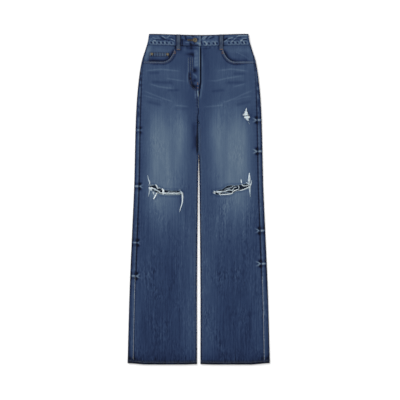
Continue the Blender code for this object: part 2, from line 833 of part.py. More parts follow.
def yarns(name, backing, strands, material):
    """Loose yarns of a rip: strands that stand apart, fused at their roots into a narrow strip."""
    x0, x1, d0, d1 = backing
    outline = [(x0, d0), (x1, d0), (x1, d1), (x0, d1)]
    low, high = YARN_LEVEL - STRAND * 0.8, YARN_LEVEL + STRAND * 0.8
    strip = prism(name, [(x, place_y(x, d)) for x, d in outline], low, high, material)
    for i, points in enumerate(strands):
        join = strip.modifiers.new(f"strand {i}", "BOOLEAN")
        join.operation = "UNION"
        join.object = strand_mesh(f"{name}_strand_{i}", points)
    return strip


def across(rip, share, x0, x1):
    """A bundle of crosswise yarns that keeps its share of the way from a rip's upper to its lower edge."""
    stations = [x0, *(row[0] for row in rip if x0 + 3 * MM < row[0] < x1 - 3 * MM), x1]
    points = []
    for x in stations:
        upper, lower = straight(rip, 1, x), straight(rip, 2, x)
        points.append((x, upper + (lower - upper) * share, YARN_LEVEL))
    return points


def tail(points):
    """Yarns that leave a rip over its edge and lie on the cloth: the first point is in the rip."""
    (x0, d0), (x1, d1) = points[:2]
    rise = 2.2 * MM / math.hypot(x1 - x0, d1 - d0)
    risen = (x0 + (x1 - x0) * rise, d0 + (d1 - d0) * rise)
    return [(x0, d0, YARN_LEVEL)] + [(x, d, TAIL_LEVEL) for x, d in [risen, *points[1:]]]


def knee_yarns_right(material):
    strands = [
        across(KNEE_RIP_RIGHT, 0.3, -151.5 * MM, -60 * MM),
        across(KNEE_RIP_RIGHT, 0.48, -151.5 * MM, -59 * MM),
        across(KNEE_RIP_RIGHT, 0.65, -151.5 * MM, -59 * MM),
        across(KNEE_RIP_RIGHT, 0.82, -151.5 * MM, -60 * MM),
        tail([(-151.5 * MM, 502 * MM), (-152.5 * MM, 494 * MM), (-157 * MM, 466 * MM)]),
    ]
    backing = (-153 * MM, -150 * MM, 500.5 * MM, 514 * MM)
    return yarns("knee_yarns_right", backing, strands, material)


def knee_tail_right(material):
    """The thick tail of yarns that hangs from the right knee's rip, over the cloth below it."""
    strands = []
    for step in (-1.7 * MM, 0, 1.7 * MM):
        x = -55.2 * MM + step
        route = [
            (x, 525.6 * MM),
            (x + 0.3 * MM, 531 * MM),
            (x + 0.8 * MM, 550 * MM),
            (x - 2 * MM, 566 * MM),
            (x - 7 * MM, 584 * MM),
        ]
        strands.append(tail(route))
    backing = (-57.6 * MM, -52.9 * MM, 524.8 * MM, 526.4 * MM)
    return yarns("knee_tail_right", backing, strands, material)


def knee_yarns_left(material):
    strands = [
        across(KNEE_RIP_LEFT, 0.3, 58.5 * MM, 118 * MM),
        across(KNEE_RIP_LEFT, 0.5, 58.5 * MM, 160 * MM),
        across(KNEE_RIP_LEFT, 0.7, 58.5 * MM, 162 * MM),
        tail([(58.5 * MM, 527 * MM), (62 * MM, 534 * MM), (75 * MM, 541 * MM)]),
    ]
    backing = (57 * MM, 59.6 * MM, 519.5 * MM, 528.4 * MM)
    return yarns("knee_yarns_left", backing, strands, material)


def knee_tail_left(material):
    """The upright bundle at the outer end of the left knee's rip."""
    strands = [
        tail([(165.6 * MM, 500.5 * MM), (165.6 * MM, 490 * MM), (167 * MM, 463 * MM)]),
        tail([(167.4 * MM, 501.5 * MM), (167.6 * MM, 493 * MM), (169.4 * MM, 474 * MM)]),
        tail([(165.8 * MM, 504 * MM), (166.5 * MM, 514 * MM), (170 * MM, 537 * MM)]),
    ]
    backing = (164.9 * MM, 168 * MM, 500.8 * MM, 504.3 * MM)
    return yarns("knee_tail_left", backing, strands, material)


def thigh_yarns(material):
    """The bared crosswise yarns that fill the thigh's rip, each bundle as wide as the rip there."""
    spine = 157.2 * MM
    reach = 1.3 * MM  # how far a bundle stays from the rip's edges
    strands = []
    for i in range(15):
        down = (250 + 2.25 * i) * MM
        inside = [
            x * MM
            for x in range(147, 169)
            if straight(THIGH_RIP, 1, x * MM) + reach < down < straight(THIGH_RIP, 2, x * MM) - reach
        ]
        strands.append([(x, down, YARN_LEVEL) for x in (min(inside), max(inside))])
    backing = (spine - 0.6 * MM, spine + 0.6 * MM, 249 * MM, 281 * MM)
    return yarns("thigh_yarns_left", backing, strands, material)


for old in list(bpy.data.objects):
    bpy.data.objects.remove(old)
PARTS = collection_named("ripped_jeans")
CUTTERS = collection_named("cutters")


def main():
    denim = material_named("denim", DENIM)
    dark = material_named("denim_dark", DENIM_DARK)
    white = material_named("bare_yarn", YARN, 0.9)
    brass = material_named("antique_brass", BRASS, 0.4, 0.9)
    tape = material_named("zip_tape", TAPE, 0.8)

    for side in ("right", "left"):
        front = front_panel(side, denim)
        cut(front, scoop_cutter(side))
        if side == "right":
            cut(front, rip_cutter("knee_rip_right", KNEE_RIP_RIGHT))
        else:
            cut(front, rip_cutter("knee_rip_left", KNEE_RIP_LEFT))
            cut(front, rip_cutter("thigh_rip", THIGH_RIP))
        back_panel(side, denim)
        yoke(side, denim)
        hem(side, dark)
        pocket_facing(side, denim)
        seat_pocket(side, denim)
        front_loop(side, dark)
    for side in BACK_LOOPS:
        back_loop(side, dark)

    band = waistband(denim)
    cut(band, buttonhole_cutter())
    button(brass)
    coin_pocket(denim)
    for i, x in enumerate(COIN_RIVETS):
        edges = (x - RIVET_RADIUS, x, x + RIVET_RADIUS)
        on_coin = max(facing_top("right", e, COIN_RIVET_DOWN) for e in edges) + GAP + SMALL_WALL
        rivet(f"coin_rivet_{i + 1}", -x, COIN_RIVET_DOWN, on_coin + GAP, brass)
    zip_strip(tape)

    knee_yarns_right(white)
    knee_tail_right(white)
    knee_yarns_left(white)
    knee_tail_left(white)
    thigh_yarns(white)


main()
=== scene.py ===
"""Looks of the ripped jeans: fine cloth, seams, stitching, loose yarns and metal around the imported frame.

Places are given as in the solids: x, with the wearer's right side at -X, and "down", the distance below the
top of the waistband. "out" is a distance from the middle of the garment. Sizes are in millimetres.
"""

import math

import bpy
import numpy as np
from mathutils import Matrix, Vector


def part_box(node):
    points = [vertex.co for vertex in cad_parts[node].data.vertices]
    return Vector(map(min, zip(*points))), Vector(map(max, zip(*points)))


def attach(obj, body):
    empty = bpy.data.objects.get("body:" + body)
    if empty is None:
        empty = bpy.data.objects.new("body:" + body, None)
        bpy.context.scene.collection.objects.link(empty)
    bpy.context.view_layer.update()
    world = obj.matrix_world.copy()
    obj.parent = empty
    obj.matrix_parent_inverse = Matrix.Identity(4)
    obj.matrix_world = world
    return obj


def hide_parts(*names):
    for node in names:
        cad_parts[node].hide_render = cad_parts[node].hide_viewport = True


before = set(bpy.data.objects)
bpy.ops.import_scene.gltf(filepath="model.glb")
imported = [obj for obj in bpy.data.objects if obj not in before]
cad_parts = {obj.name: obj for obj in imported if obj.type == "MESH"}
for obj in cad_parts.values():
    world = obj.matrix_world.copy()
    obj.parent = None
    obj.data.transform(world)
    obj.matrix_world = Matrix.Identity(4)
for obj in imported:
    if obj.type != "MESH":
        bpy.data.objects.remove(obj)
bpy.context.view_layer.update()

MM = 0.001
SIGN = {"right": -1, "left": 1}

# Driving sizes of the garment, the same as the solids have
LENGTH = 1091
WAIST_DIP = 3.8
HEM_LIFT_OUTER = 4.5
HEM_LIFT_INNER = 1.3
HEM_HEIGHT = 11
HEM_START = LENGTH - HEM_HEIGHT
CROTCH_DOWN = 297
CURL_ROWS = (CROTCH_DOWN - 16, CROTCH_DOWN + 5)
SEAT_LIFT = 1.3
FACING_TOP = {"right": 3.6, "left": 4.9}
HIP_TOP = 6.2
HIP_END = (240, 360)
LEG_TOP = 4.4
FLY_RISE = 1.4
BAND_HEIGHT = 36
BAND_TOP = 7.2
BAND_RISE = 2.3
BAND_RAMP = (-78, -41)
PANEL_START = 36.5
FLY_EDGE = 3.8
BAND_END = 7
CENTRE_SEAM = -0.6
UNDERLAP = 35
FLY_END = 180
LAP = 10.5
SCOOP_TOP = (79.5, 34)
SCOOP_RADII = (41.5, 57.3)
SCOOP_FLOOR = 91.3
FACING_REACH = 10
INSEAM_IN = 4.8
BUTTON_X = -12.3
BUTTON_DOWN = 17.2
HOLE_LENGTH = 23
COIN = (97, 163)
COIN_TOP = 61
LOOP_WIDTH = 12.5
LOOP_LENGTH = 51
FRONT_LOOPS = {"right": -67, "left": 74.5}
BACK_LOOPS = {"right": -98, "centre": 0.0, "left": 98}
YOKE_SIDE = 78
YOKE_CENTRE = 106
SEAT_POCKET_X = (38, 168)
SEAT_POCKET_DOWN = (144, 286)
SEAT_MARGIN = 17
SEAT_RAMP = 20

# Outline of the garment: down, half width, and how far the outseam lies in from the fold
OUTLINE = [
    (0, 164, 3), (26, 168, 3), (53, 176.3, 3.6), (86, 186.8, 5), (139, 196.2, 9.5), (218, 204.1, 13.7),
    (320, 208.8, 15.7), (500, 213, 16.5), (640, 219.2, 17.5), (850, 228.2, 19), (1091, 234.8, 20.5),
]

# Space between the legs: down, and half of the space
LEG_SPACE = [
    (0, 0.1), (385, 0.1), (400, 0.4), (430, 1.2), (460, 2), (560, 3.1), (720, 4.8), (880, 5.9), (1091, 5.7),
]

# Long soft folds of the front: side, start out and down, end out and down, half width, height
FOLDS = [
    ("right", 168, 134, 92, 139, 7, 0.35), ("right", 170, 184, 44, 190, 8, 0.4),
    ("right", 176, 212, 96, 232, 9, 0.45), ("right", 186, 240, 60, 268, 9, 0.45),
    ("right", 96, 400, 104, 470, 16, 0.4), ("right", 110, 620, 104, 900, 22, 0.45),
    ("left", 172, 131, 90, 139, 7, 0.35), ("left", 176, 176, 52, 191, 8, 0.4),
    ("left", 184, 206, 100, 232, 9, 0.45), ("left", 188, 240, 70, 270, 9, 0.45),
    ("left", 104, 400, 112, 480, 16, 0.4), ("left", 112, 640, 100, 920, 22, 0.45),
]

# Tucks pinched across the outseam: side, down, where the ridge starts and ends in from the fold, strength
TUCKS = [
    ("right", 318, 0, 22, 0.6), ("right", 503, 2, 29, 1), ("right", 689, 3, 28, 1),
    ("right", 799, 5, 33, 1.1), ("left", 284.5, 0, 29, 0.9), ("left", 387.5, 1, 31, 1),
    ("left", 649.5, 3, 33, 1), ("left", 758.5, 3, 36, 1.1),
]

# Whiskers: side, how much paler from wear (or, below 0, darker: painted shade in a crease, which is also
# dented), half width, and the line's points as (out, down)
WHISKERS = [
    ("right", 0.16, 3.2, [(34.4, 74), (34.4, 122), (37.3, 132), (37.6, 150), (35, 166)]),
    ("right", -0.09, 1.9, [(31, 66), (31, 128), (33, 150)]),
    ("right", -0.12, 1.9, [(24.3, 74), (24.3, 128)]), ("right", -0.11, 2, [(17.7, 60), (17.7, 112)]),
    ("right", -0.24, 6, [(27, 122), (27, 150), (21, 168), (10, 182)]),
    ("right", 0.18, 4.6, [(20, 129), (14, 133), (8, 138), (7, 146)]),
    ("right", 0.4, 3.6, [(3.6, 184), (3.2, 194), (1.6, 200), (1.2, 210)]),
    ("right", 0.14, 2.8, [(1.4, 196), (1.2, 222), (1.3, 250)]),
    ("right", 0.22, 3, [(11.5, 186), (11, 214)]), ("right", -0.22, 1.7, [(8, 164), (7.6, 200)]),
    ("left", 0.16, 6, [(9, 160), (8.4, 180), (7, 200), (5.6, 216)]),
    ("left", 0.1, 3.6, [(12, 60), (12, 108)]), ("left", -0.1, 2.4, [(8, 46), (30, 45), (42, 43)]),
    ("right", -0.12, 8, [(16, 286), (15, 350), (18, 392)]),
    ("right", -0.1, 3.6, [(10.4, 332), (10.4, 354), (9.4, 378)]),
    ("right", 0.12, 4, [(179, 122), (124, 116.5), (58, 122)]),
    ("right", -0.1, 4.5, [(166, 129), (128, 128)]), ("right", 0.1, 4, [(109, 146), (39, 156)]),
    ("right", -0.1, 5, [(160, 158), (80, 162)]), ("right", 0.12, 4.5, [(163, 164), (133, 174), (80, 181)]),
    ("right", -0.09, 4.5, [(105, 186), (62, 185)]),
    ("right", 0.1, 4, [(182, 188), (139, 205), (109, 216), (82, 225)]),
    ("right", 0.08, 3.5, [(186, 202), (145, 213), (118, 220)]),
    ("right", -0.08, 5, [(176, 222), (120, 236)]), ("right", 0.1, 4, [(80, 235), (34, 240)]),
    ("right", -0.04, 4.5, [(84, 246), (30, 248)]), ("left", 0.12, 4, [(64, 120), (107, 115.5), (164, 123)]),
    ("left", -0.1, 4.5, [(112, 131), (155, 131)]),
    ("left", 0.11, 4, [(29, 153), (56, 154), (92, 146), (148, 138)]),
    ("left", -0.1, 5, [(88, 161), (154, 160)]), ("left", 0.1, 4, [(112, 175), (156, 164)]),
    ("left", -0.09, 4.5, [(40, 190), (88, 184)]),
    ("left", 0.1, 4, [(78, 227), (115, 215), (145, 200), (183, 184)]),
    ("left", 0.08, 3.5, [(116, 219), (145, 210), (177, 205)]), ("left", -0.08, 5, [(120, 236), (176, 222)]),
    ("left", 0.1, 4, [(16, 241), (43, 239), (84, 234)]),
]

# Painted shadow down the centre below the fly, where the fly ends and the legs meet: down, x, and how dark
CENTRE_SHADOW = [
    (162, 2.1, 0), (168, 2.1, 0.4), (180, 2.1, 0.5), (185, 2.1, 0.95), (196, 2.1, 0.95), (200, 2.1, 0.45),
    (205, 1, 0.25), (211, -4.6, 0.4), (238, -4.6, 0.34), (247, -1.4, 0.4), (262, -1.4, 0.42),
    (270, -4.2, 0.4), (300, -4.6, 0.8), (320, -4.8, 1.1), (345, -5, 1.4), (380, -4.9, 1.3), (400, -4.9, 0),
]

# Wash of the denim from 0, raw, to 1, worn pale: down, at the middle, on the thigh, at the outseam, and
# between which two distances out it goes from the middle's to the thigh's
WASH = [
    (36, 0.44, 0.48, 0.54, 18, 80), (120, 0.46, 0.59, 0.57, 18, 90), (205, 0.47, 0.56, 0.55, 20, 90),
    (260, 0.48, 0.69, 0.53, 20, 62), (320, 0.49, 0.81, 0.51, 16, 56), (400, 0.53, 0.85, 0.5, 16, 78),
    (480, 0.54, 0.83, 0.49, 22, 92), (560, 0.51, 0.77, 0.47, 34, 104), (640, 0.54, 0.56, 0.45, 20, 100),
    (700, 0.55, 0.44, 0.44, 20, 90), (860, 0.52, 0.37, 0.43, 20, 90), (1010, 0.47, 0.34, 0.4, 20, 90),
    (1091, 0.36, 0.3, 0.3, 20, 90),
]
THIGH_OUTER = (140, 198)

# Spots of the front that are paler or darker: side, out, down, half sizes across and along, strength. Some
# are uneven wash; the dark spots just under the waistband's puckers, beside the belt loops and beside the
# right knee's loose tail are painted shadow.
SPOTS = [
    ("right", 28, 42, 16, 5.5, -0.23), ("right", 7, 39, 5.5, 3.6, 0.28), ("right", 24, 46, 9, 4, -0.16),
    ("right", 21, 65, 9, 8, -0.36), ("right", 34, 64, 11, 4.5, -0.2), ("right", 46, 49, 6, 4, 0.1),
    ("right", 13, 119, 7, 9, -0.44), ("right", 13, 152, 6, 6, -0.36), ("right", 28, 146, 4, 5, -0.18),
    ("right", 8, 161, 3, 4, 0.16), ("right", 27.5, 139, 2.4, 2.4, 0.38),
    ("right", 27.5, 152.5, 2.4, 2.4, 0.38), ("right", 13, 172, 9, 7, -0.24),
    ("right", 77, 44, 3.4, 9, -0.36), ("right", 57.5, 44, 3, 9, -0.16), ("right", 78, 96, 22, 20, -0.09),
    ("right", 60.5, 549, 3.2, 17, -0.24), ("left", 88, 98, 22, 18, -0.09), ("left", 81, 44, 3.4, 9, -0.14),
    ("left", 65, 44, 3, 9, -0.2), ("right", 64, 52, 10, 12, -0.1), ("right", 40, 100, 9, 34, -0.07),
    ("right", 86, 415, 13, 95, -0.09), ("left", 14, 60, 8, 26, -0.1), ("left", 30, 100, 16, 50, -0.04),
    ("left", 128, 99, 16, 5, -0.13), ("left", 166, 262, 20, 26, -0.14), ("left", 86, 415, 13, 95, -0.09),
]

# Rips: out, upper edge and lower edge, both as down
KNEE_RIP_RIGHT = [
    (52, 524, 527), (56, 520, 531), (75, 517, 532), (105, 517, 532), (127, 510, 529), (140, 499, 524),
    (152, 498, 516), (162, 503, 507),
]
KNEE_RIP_LEFT = [
    (47, 521, 524), (57, 517, 530), (76, 514, 531), (92, 502, 532), (109, 499, 530), (122, 501, 519),
    (145, 496, 515), (162, 494, 511), (170, 500, 506),
]
THIGH_RIP = [
    (147.8, 265.5, 268), (151, 260, 276), (157.4, 245, 282), (161, 254, 285.5), (166.2, 268.5, 286.5),
    (168.2, 272, 276),
]
RIPS = {"right": [KNEE_RIP_RIGHT], "left": [KNEE_RIP_LEFT, THIGH_RIP]}

# Creases of the waistband's front: how much paler or darker, half width, and points as (x, down)
BAND_CREASES = [
    (0.3, 1.5, [(-157, 16), (-149, 22), (-143, 23)]), (0.26, 1.5, [(-152, 12), (-139, 16), (-128, 16)]),
    (0.36, 1.4, [(-121, 6.5), (-109, 13.5)]), (0.28, 1.5, [(-105, 12), (-95.5, 4.5)]),
    (0.42, 1.4, [(-91, 15), (-80, 21)]), (0.24, 1.6, [(-136, 10.5), (-126, 11)]),
    (-0.34, 2.6, [(-128, 9), (-113, 17), (-106, 20)]), (-0.36, 2, [(-140, 19), (-117, 20.5)]),
    (-0.26, 2.2, [(-97, 10), (-84, 13)]), (-0.26, 2, [(-154, 20), (-147, 21)]),
    (-0.3, 2.4, [(-100, 20.5), (-84, 21)]), (-0.34, 2.4, [(-54, 16), (-54, 36)]),
    (-0.32, 2.2, [(-47, 0), (-43, 10), (-42, 16)]), (0.22, 1.8, [(-38, 3), (-34, 6)]),
    (-0.3, 2, [(-22, 2), (-18, 5)]), (0.26, 1.6, [(-6, 1), (-2, 8)]), (-0.26, 2, [(-8, 13), (-1, 15)]),
    (0.26, 2, [(-42, 25), (-32, 26)]), (-0.34, 2.2, [(-29, 27), (-24, 31)]),
    (-0.3, 1.8, [(-15, 26), (-14, 29)]), (0.22, 3.4, [(-6, 25), (1, 29)]),
    (-0.34, 2.2, [(-28, 33), (-4, 34)]), (0.18, 1.5, [(-50, 12), (-42, 17), (-36, 22)]),
    (0.28, 1.4, [(-32, 3.5), (-24, 8)]), (0.34, 1.5, [(10, 14), (21, 4.5)]),
    (0.34, 1.5, [(16, 15), (27, 3.5)]), (0.26, 1.5, [(30, 11), (42, 4)]), (-0.34, 2, [(25, 13), (32, 6)]),
    (-0.34, 2, [(37, 13), (50, 7)]), (-0.3, 3, [(8, 22), (12, 30)]), (0.18, 3, [(21, 23), (25, 31)]),
    (-0.16, 5, [(-46, 17), (-28, 18)]), (0.36, 1.6, [(83, 25), (101, 13.5), (112, 11)]),
    (0.4, 1.5, [(110, 24), (121, 13.5), (131, 5.5), (160, 5.5)]),
    (0.34, 1.6, [(139, 23), (147, 15.5), (157, 14.5)]), (-0.5, 2.6, [(85, 18.5), (93, 13)]),
    (-0.4, 1.8, [(95, 18.5), (105, 18.5)]), (-0.34, 2, [(111, 20), (132, 20)]),
    (-0.44, 2, [(147, 19), (157, 19)]), (-0.24, 2.6, [(118, 11), (138, 12)]),
]

# Hollows of the waistband's row of tacks
BAND_DOTS = (-156.5, -144.4, -130.8, -118, -105, -90, 20, 34, 49, 60, 100, 114, 128, 144, 155)
BAND_DOT_DOWN = 28.5

# Rows of stitches round the fly's curve, as (out, down)
FLY_CURVE = [(33.5, 124), (33.5, 143), (31, 158), (26.5, 171), (19.5, 181), (11, 187), (4, 189)]

# Fineness and thickness of the cloth meshes
CLOTH = 0.9
ROLL = 9
FRONT_CELL = (2.4, 2.6)
BACK_CELL = 3.4
THREAD = 0.3


# Smooth numbers, worked out on whole arrays


def ease(start, end, value):
    """Goes smoothly from 0 at start to 1 at end."""
    share = np.clip((value - start) / (end - start), 0.0, 1.0)
    return share * share * (3 - 2 * share)


def bell(value, centre, half):
    """A bump of height 1 at its centre, about half wide to either side."""
    return np.exp(-(((value - centre) / half) ** 2))


def along(table, column, value):
    """A smooth curve through a table's rows: its column, where the first column is value."""
    rows = np.array(table)
    places, values = rows[:, 0], rows[:, column]
    number = np.arange(len(rows))
    low, high = np.maximum(number - 1, 0), np.minimum(number + 1, len(rows) - 1)
    slopes = (values[high] - values[low]) / (places[high] - places[low])
    i = np.clip(np.searchsorted(places, value, side="right") - 1, 0, len(rows) - 2)
    step = places[i + 1] - places[i]
    t = np.clip((value - places[i]) / step, 0.0, 1.0)
    return (
        values[i] * (1 + 2 * t) * (1 - t) ** 2
        + slopes[i] * step * t * (1 - t) ** 2
        + values[i + 1] * t * t * (3 - 2 * t)
        + slopes[i + 1] * step * t * t * (t - 1)
    )


def noise(seed, u, v):
    """Smooth random numbers from -1 to 1 over a plane, with one new number for each unit of u and v."""
    size = 61
    table = np.random.default_rng(seed).uniform(-1, 1, (size, size))
    i, j = np.floor(u).astype(int), np.floor(v).astype(int)
    s, t = ease(0, 1, u - i), ease(0, 1, v - j)
    upper = table[i % size, j % size] * (1 - s) + table[(i + 1) % size, j % size] * s
    lower = table[i % size, (j + 1) % size] * (1 - s) + table[(i + 1) % size, (j + 1) % size] * s
    return upper * (1 - t) + lower * t


def puckers(place, pitch, seed, drift, amount, slant=0.0):
    """A wave from -1 to 1 for each pitch, whose crests wander a little."""
    return np.sin(2 * np.pi * (place / pitch + slant + amount * noise(seed, place / drift, 0.5)))


def on_line(start, end, out, down):
    """How far along a line places lie, from 0 at its start to 1 at its end, and their distance from it."""
    (x0, d0), (x1, d1) = start, end
    share = ((out - x0) * (x1 - x0) + (down - d0) * (d1 - d0)) / math.dist(start, end) ** 2
    t = np.clip(share, 0, 1)
    return share, np.hypot(out - x0 - (x1 - x0) * t, down - d0 - (d1 - d0) * t)


def beside(route, out, down):
    """Distance of places from a line through points, and how far along the line the nearest of it lies."""
    runs = [math.dist(a, b) for a, b in zip(route, route[1:])]
    nearest = np.full(np.shape(out), 9.0)
    found = np.zeros(np.shape(out))
    for i, (start, end) in enumerate(zip(route, route[1:])):
        share, distance = on_line(start, end, out, down)
        far = (sum(runs[:i]) + runs[i] * np.clip(share, 0, 1)) / sum(runs)
        found = np.where(distance < nearest, far, found)
        nearest = np.minimum(distance, nearest)
    return nearest, found


def smooth_route(points, steps=80):
    """A rounded route through a few points."""
    points = np.array(points, float)
    runs = np.concatenate([[0], np.cumsum(np.hypot(*np.diff(points, axis=0).T))])
    table = np.column_stack([runs, points])
    places = np.linspace(0, runs[-1], steps)
    return along(table, 1, places), along(table, 2, places)


def of_side(side, table):
    """The rows of a table that are for one side, without the side."""
    return [row[1:] for row in table if row[0] == side]


# Form of the garment, as in the solids


def half_width(down):
    return along(OUTLINE, 1, down)


def seam_x(down):
    return half_width(down) - along(OUTLINE, 2, down)


def inner_x(down):
    return along(LEG_SPACE, 1, down)


def place_y(x, down):
    """Rows follow the dip of the waist at the top and the hem's curve below."""
    waist = WAIST_DIP * ease(half_width(0), 0, np.abs(x)) * ease(260, 0, down)
    outer = HEM_LIFT_OUTER * ease(66, 0, half_width(down) - np.abs(x))
    inner = HEM_LIFT_INNER * ease(50, 0, np.abs(x))
    return LENGTH / 2 - down - waist + (outer + inner) * ease(LENGTH - 140, LENGTH, down)


def spread(x, down, z):
    """Points in space for places on the garment."""
    return np.stack(np.broadcast_arrays(x, place_y(x, down), z), -1)


def fold_height(side, out, down):
    total = 0.0
    for x0, d0, x1, d1, half, height in of_side(side, FOLDS):
        share, distance = on_line((x0, d0), (x1, d1), out, down)
        total = total + height * ease(-0.15, 0.25, share) * ease(1.15, 0.75, share) * bell(distance, 0, half)
    return total


def seat_bottom(out, down):
    """Height of the back's outer face: it is lifted over the belt loops and the seat pockets."""
    past = np.maximum(out - SEAT_POCKET_X[1], 0.0) * ease(90, 150, down)
    below = np.maximum(down - SEAT_POCKET_DOWN[1], 0.0)
    return SEAT_LIFT * ease(SEAT_MARGIN + SEAT_RAMP, SEAT_MARGIN, np.hypot(past, below))


def rolled(z, out, down):
    """Heights of the upper side, brought round to the fold at the garment's edge."""
    width = half_width(down)
    middle = (z + seat_bottom(width, down)) / 2
    inward = np.clip((width - out) / ROLL, 0, 1)
    return middle + (z - middle) * np.sqrt(1 - (1 - inward) ** 2)


def scoop_distance(out, down):
    """Distance from the edge of a front pocket's opening: above 0 on the panel, below 0 in the opening."""
    a, b = SCOOP_RADII
    u = np.minimum(out - SCOOP_TOP[0] - a, 0) / a
    v = np.maximum(down - SCOOP_TOP[1], 0.1) / b
    radius = np.hypot(u, v)
    return (radius - 1) * radius / np.hypot(u / a, v / b)


def rip_distance(rip, out, down):
    """Distance from a rip's edge: above 0 on the cloth, below 0 in the rip. The edge is ragged."""
    outs, uppers, lowers = np.array(rip).T
    outside = np.maximum(np.interp(out, outs, uppers) - down, down - np.interp(out, outs, lowers))
    past = np.maximum(outs[0] - out, out - outs[-1])
    ragged = 1.1 * noise(7, out / 3.1, down / 9) + 0.8 * noise(8, out, down / 4)
    return np.maximum(outside, past) + ragged


# Features of the upper side: each gives a height and how much paler it makes the denim. The paler and darker
# marks are partly wear and partly painted shade and light, as each feature says.


def wash(out, down):
    middle, thigh, seam, pale_from, pale_to = (along(WASH, column, down) for column in range(1, 6))
    cloud = noise(21, out / 34, down / 70) + 0.6 * noise(22, out / 13, down / 34)
    thigh_share = ease(pale_from, pale_to, out)
    outer_share = ease(*THIGH_OUTER, out)
    return middle + (thigh - middle) * thigh_share + (seam - thigh) * outer_share + 0.022 * cloud


def spots(side, out, down):
    fade = 0.0
    for x, d, across, along_leg, strength in of_side(side, SPOTS):
        fade = fade + strength * bell(np.hypot((out - x) / across, (down - d) / along_leg), 0, 1)
    return 1.2 * fade, fade


def whiskers(side, out, down):
    fade = 0.0
    for strength, half, route in of_side(side, WHISKERS):
        distance, share = beside(route, out, down)
        width = half * (0.55 if strength > 0 else 1.0)
        ends = ease(-0.05, 0.2, share) * ease(1.05, 0.8, share)
        fade = fade + 1.6 * strength * bell(distance, 0, width) * ends
    return 2.2 * fade, fade


def tucks(side, out, down):
    """Ridges that fork on both sides of the outseam, paler from wear, with a hollow above and below each.
    The hollows and the corners at the fold are darkened with painted shade.
    """
    height, fade = 0.0, 0.0
    from_fold, from_seam = half_width(down) - out, seam_x(down) - out
    inward, outward = np.maximum(from_seam - 2, 0), np.maximum(-from_seam, 0)
    fork = 0.62 * inward - 0.009 * inward**2 + 0.10 * outward
    width = 1.7 + 0.9 * np.exp(-np.abs(from_seam) / 6)
    near = bell(np.maximum(np.abs(from_seam - 1) - 2, 0), 0, 5)
    for tuck, start, end, strength in of_side(side, TUCKS):
        here = ease(start - 3, start + 2, from_fold) * ease(end + 5, end - 9, from_fold)
        below = down - tuck + 0.05 * outward
        ridge = np.maximum(bell(below, fork, width), bell(below, -fork, width)) * here
        hollow = bell(np.abs(below), 7 + 0.4 * inward, 4.8) * near
        corner = bell(np.abs(below), 7.5, 5.5) * np.exp(-from_fold / 5)
        between = bell(below, 0, 1.6) * ease(3, 9, inward) * here
        height = height + strength * (1.9 * ridge - 1.3 * hollow - 0.6 * between)
        fade = fade + strength * (0.70 * ridge - 0.62 * hollow - 0.16 * between - 0.62 * corner)
    return height, fade


def outseam(side, out, down):
    """The outseam's ditch, darker along its middle, the puckers along it, and the fold beyond it, darkened
    with painted shade where the cloth rolls away.
    """
    edge, across = half_width(down) - out, seam_x(down) - out
    seed = 31 if side == "right" else 32
    pucker = puckers(down, 12.5, seed, 40, 0.5) * (0.6 + 0.4 * noise(seed + 2, down / 26, 0.5))
    near = np.exp(-np.abs(across) / 6.5)
    middle = 0.42 * (across - edge)
    strip = bell(across, middle, 2.4)
    height = 0.32 * pucker * near + 0.35 * strip - 0.9 * bell(across, 0, 1.5)
    speckle = noise(seed + 4, down / 5.2, out / 3)
    dashes = ease(-0.2, 0.5, noise(seed + 6, down / 10, 0.5 + out / 9))
    # Painted shade along the fold where the cloth rolls away at the garment's edge
    roll_shade = np.exp(-np.maximum(edge - 1.2, 0) / 2.6) * (1 - 0.26 * ease(800, 900, down))
    deep = (0.3 + 0.7 * ease(120, 240, down)) * (1 - 0.75 * ease(780, 840, down))
    ridge = bell(across, -4.6, 2.0) * (0.7 + 0.5 * speckle) * ease(100, 240, down)
    hips = ease(330, 250, down) * ease(70, 130, down)
    fade = 0.07 * pucker * near + 0.10 * strip - 0.42 * deep * bell(across, 0, 2.2)
    fade = fade + 0.27 * ridge - (0.50 + 0.16 * speckle) * roll_shade
    worn = 0.12 * bell(across, 3.2, 1.2) * (0.5 + 0.5 * pucker)
    return height, fade + hips * (worn - 0.42 * dashes * bell(across, middle, 3.2))


def inseam(side, out, down):
    """Below the crotch: the seam beside the inner fold, the fold's own worn ridge, and painted shade at the
    fold where the cloth rolls under. Where the legs still touch, a pale bar of painted light takes their
    place.
    """
    here = ease(CROTCH_DOWN - 6, CROTCH_DOWN + 18, down)
    across = out - inner_x(down) - INSEAM_IN
    seed = 41 if side == "right" else 42
    wave = puckers(down, 10, seed, 40, 0.5) * np.exp(-np.abs(across) / 5)
    dash = 0.5 + 0.5 * noise(seed + 2, down / 7, 0.5)
    edge = 0.2 + 0.4 * dash if side == "right" else 0.5 + 0.4 * dash + 0.2 * ease(560, 900, down)
    fade = 0.12 * bell(across, 2.0, 1.7) + 0.05 * wave - (0.08 + 0.30 * dash) * bell(across, -2.2, 2.0)
    # Painted shade at the inner fold, where the cloth rolls under
    fade = fade - edge * bell(across, -INSEAM_IN, 1.8)
    shut = ease(406, 392, down)
    # A pale bar of painted light where the legs still touch, against the shading of their rolled edges
    painted_light = 0.12 * bell(out, 0, 3.4) * ease(CROTCH_DOWN - 4, CROTCH_DOWN + 12, down)
    return here * (0.25 * wave - 0.6 * bell(across, 0, 1.2)), here * fade * (1 - shut) + shut * painted_light


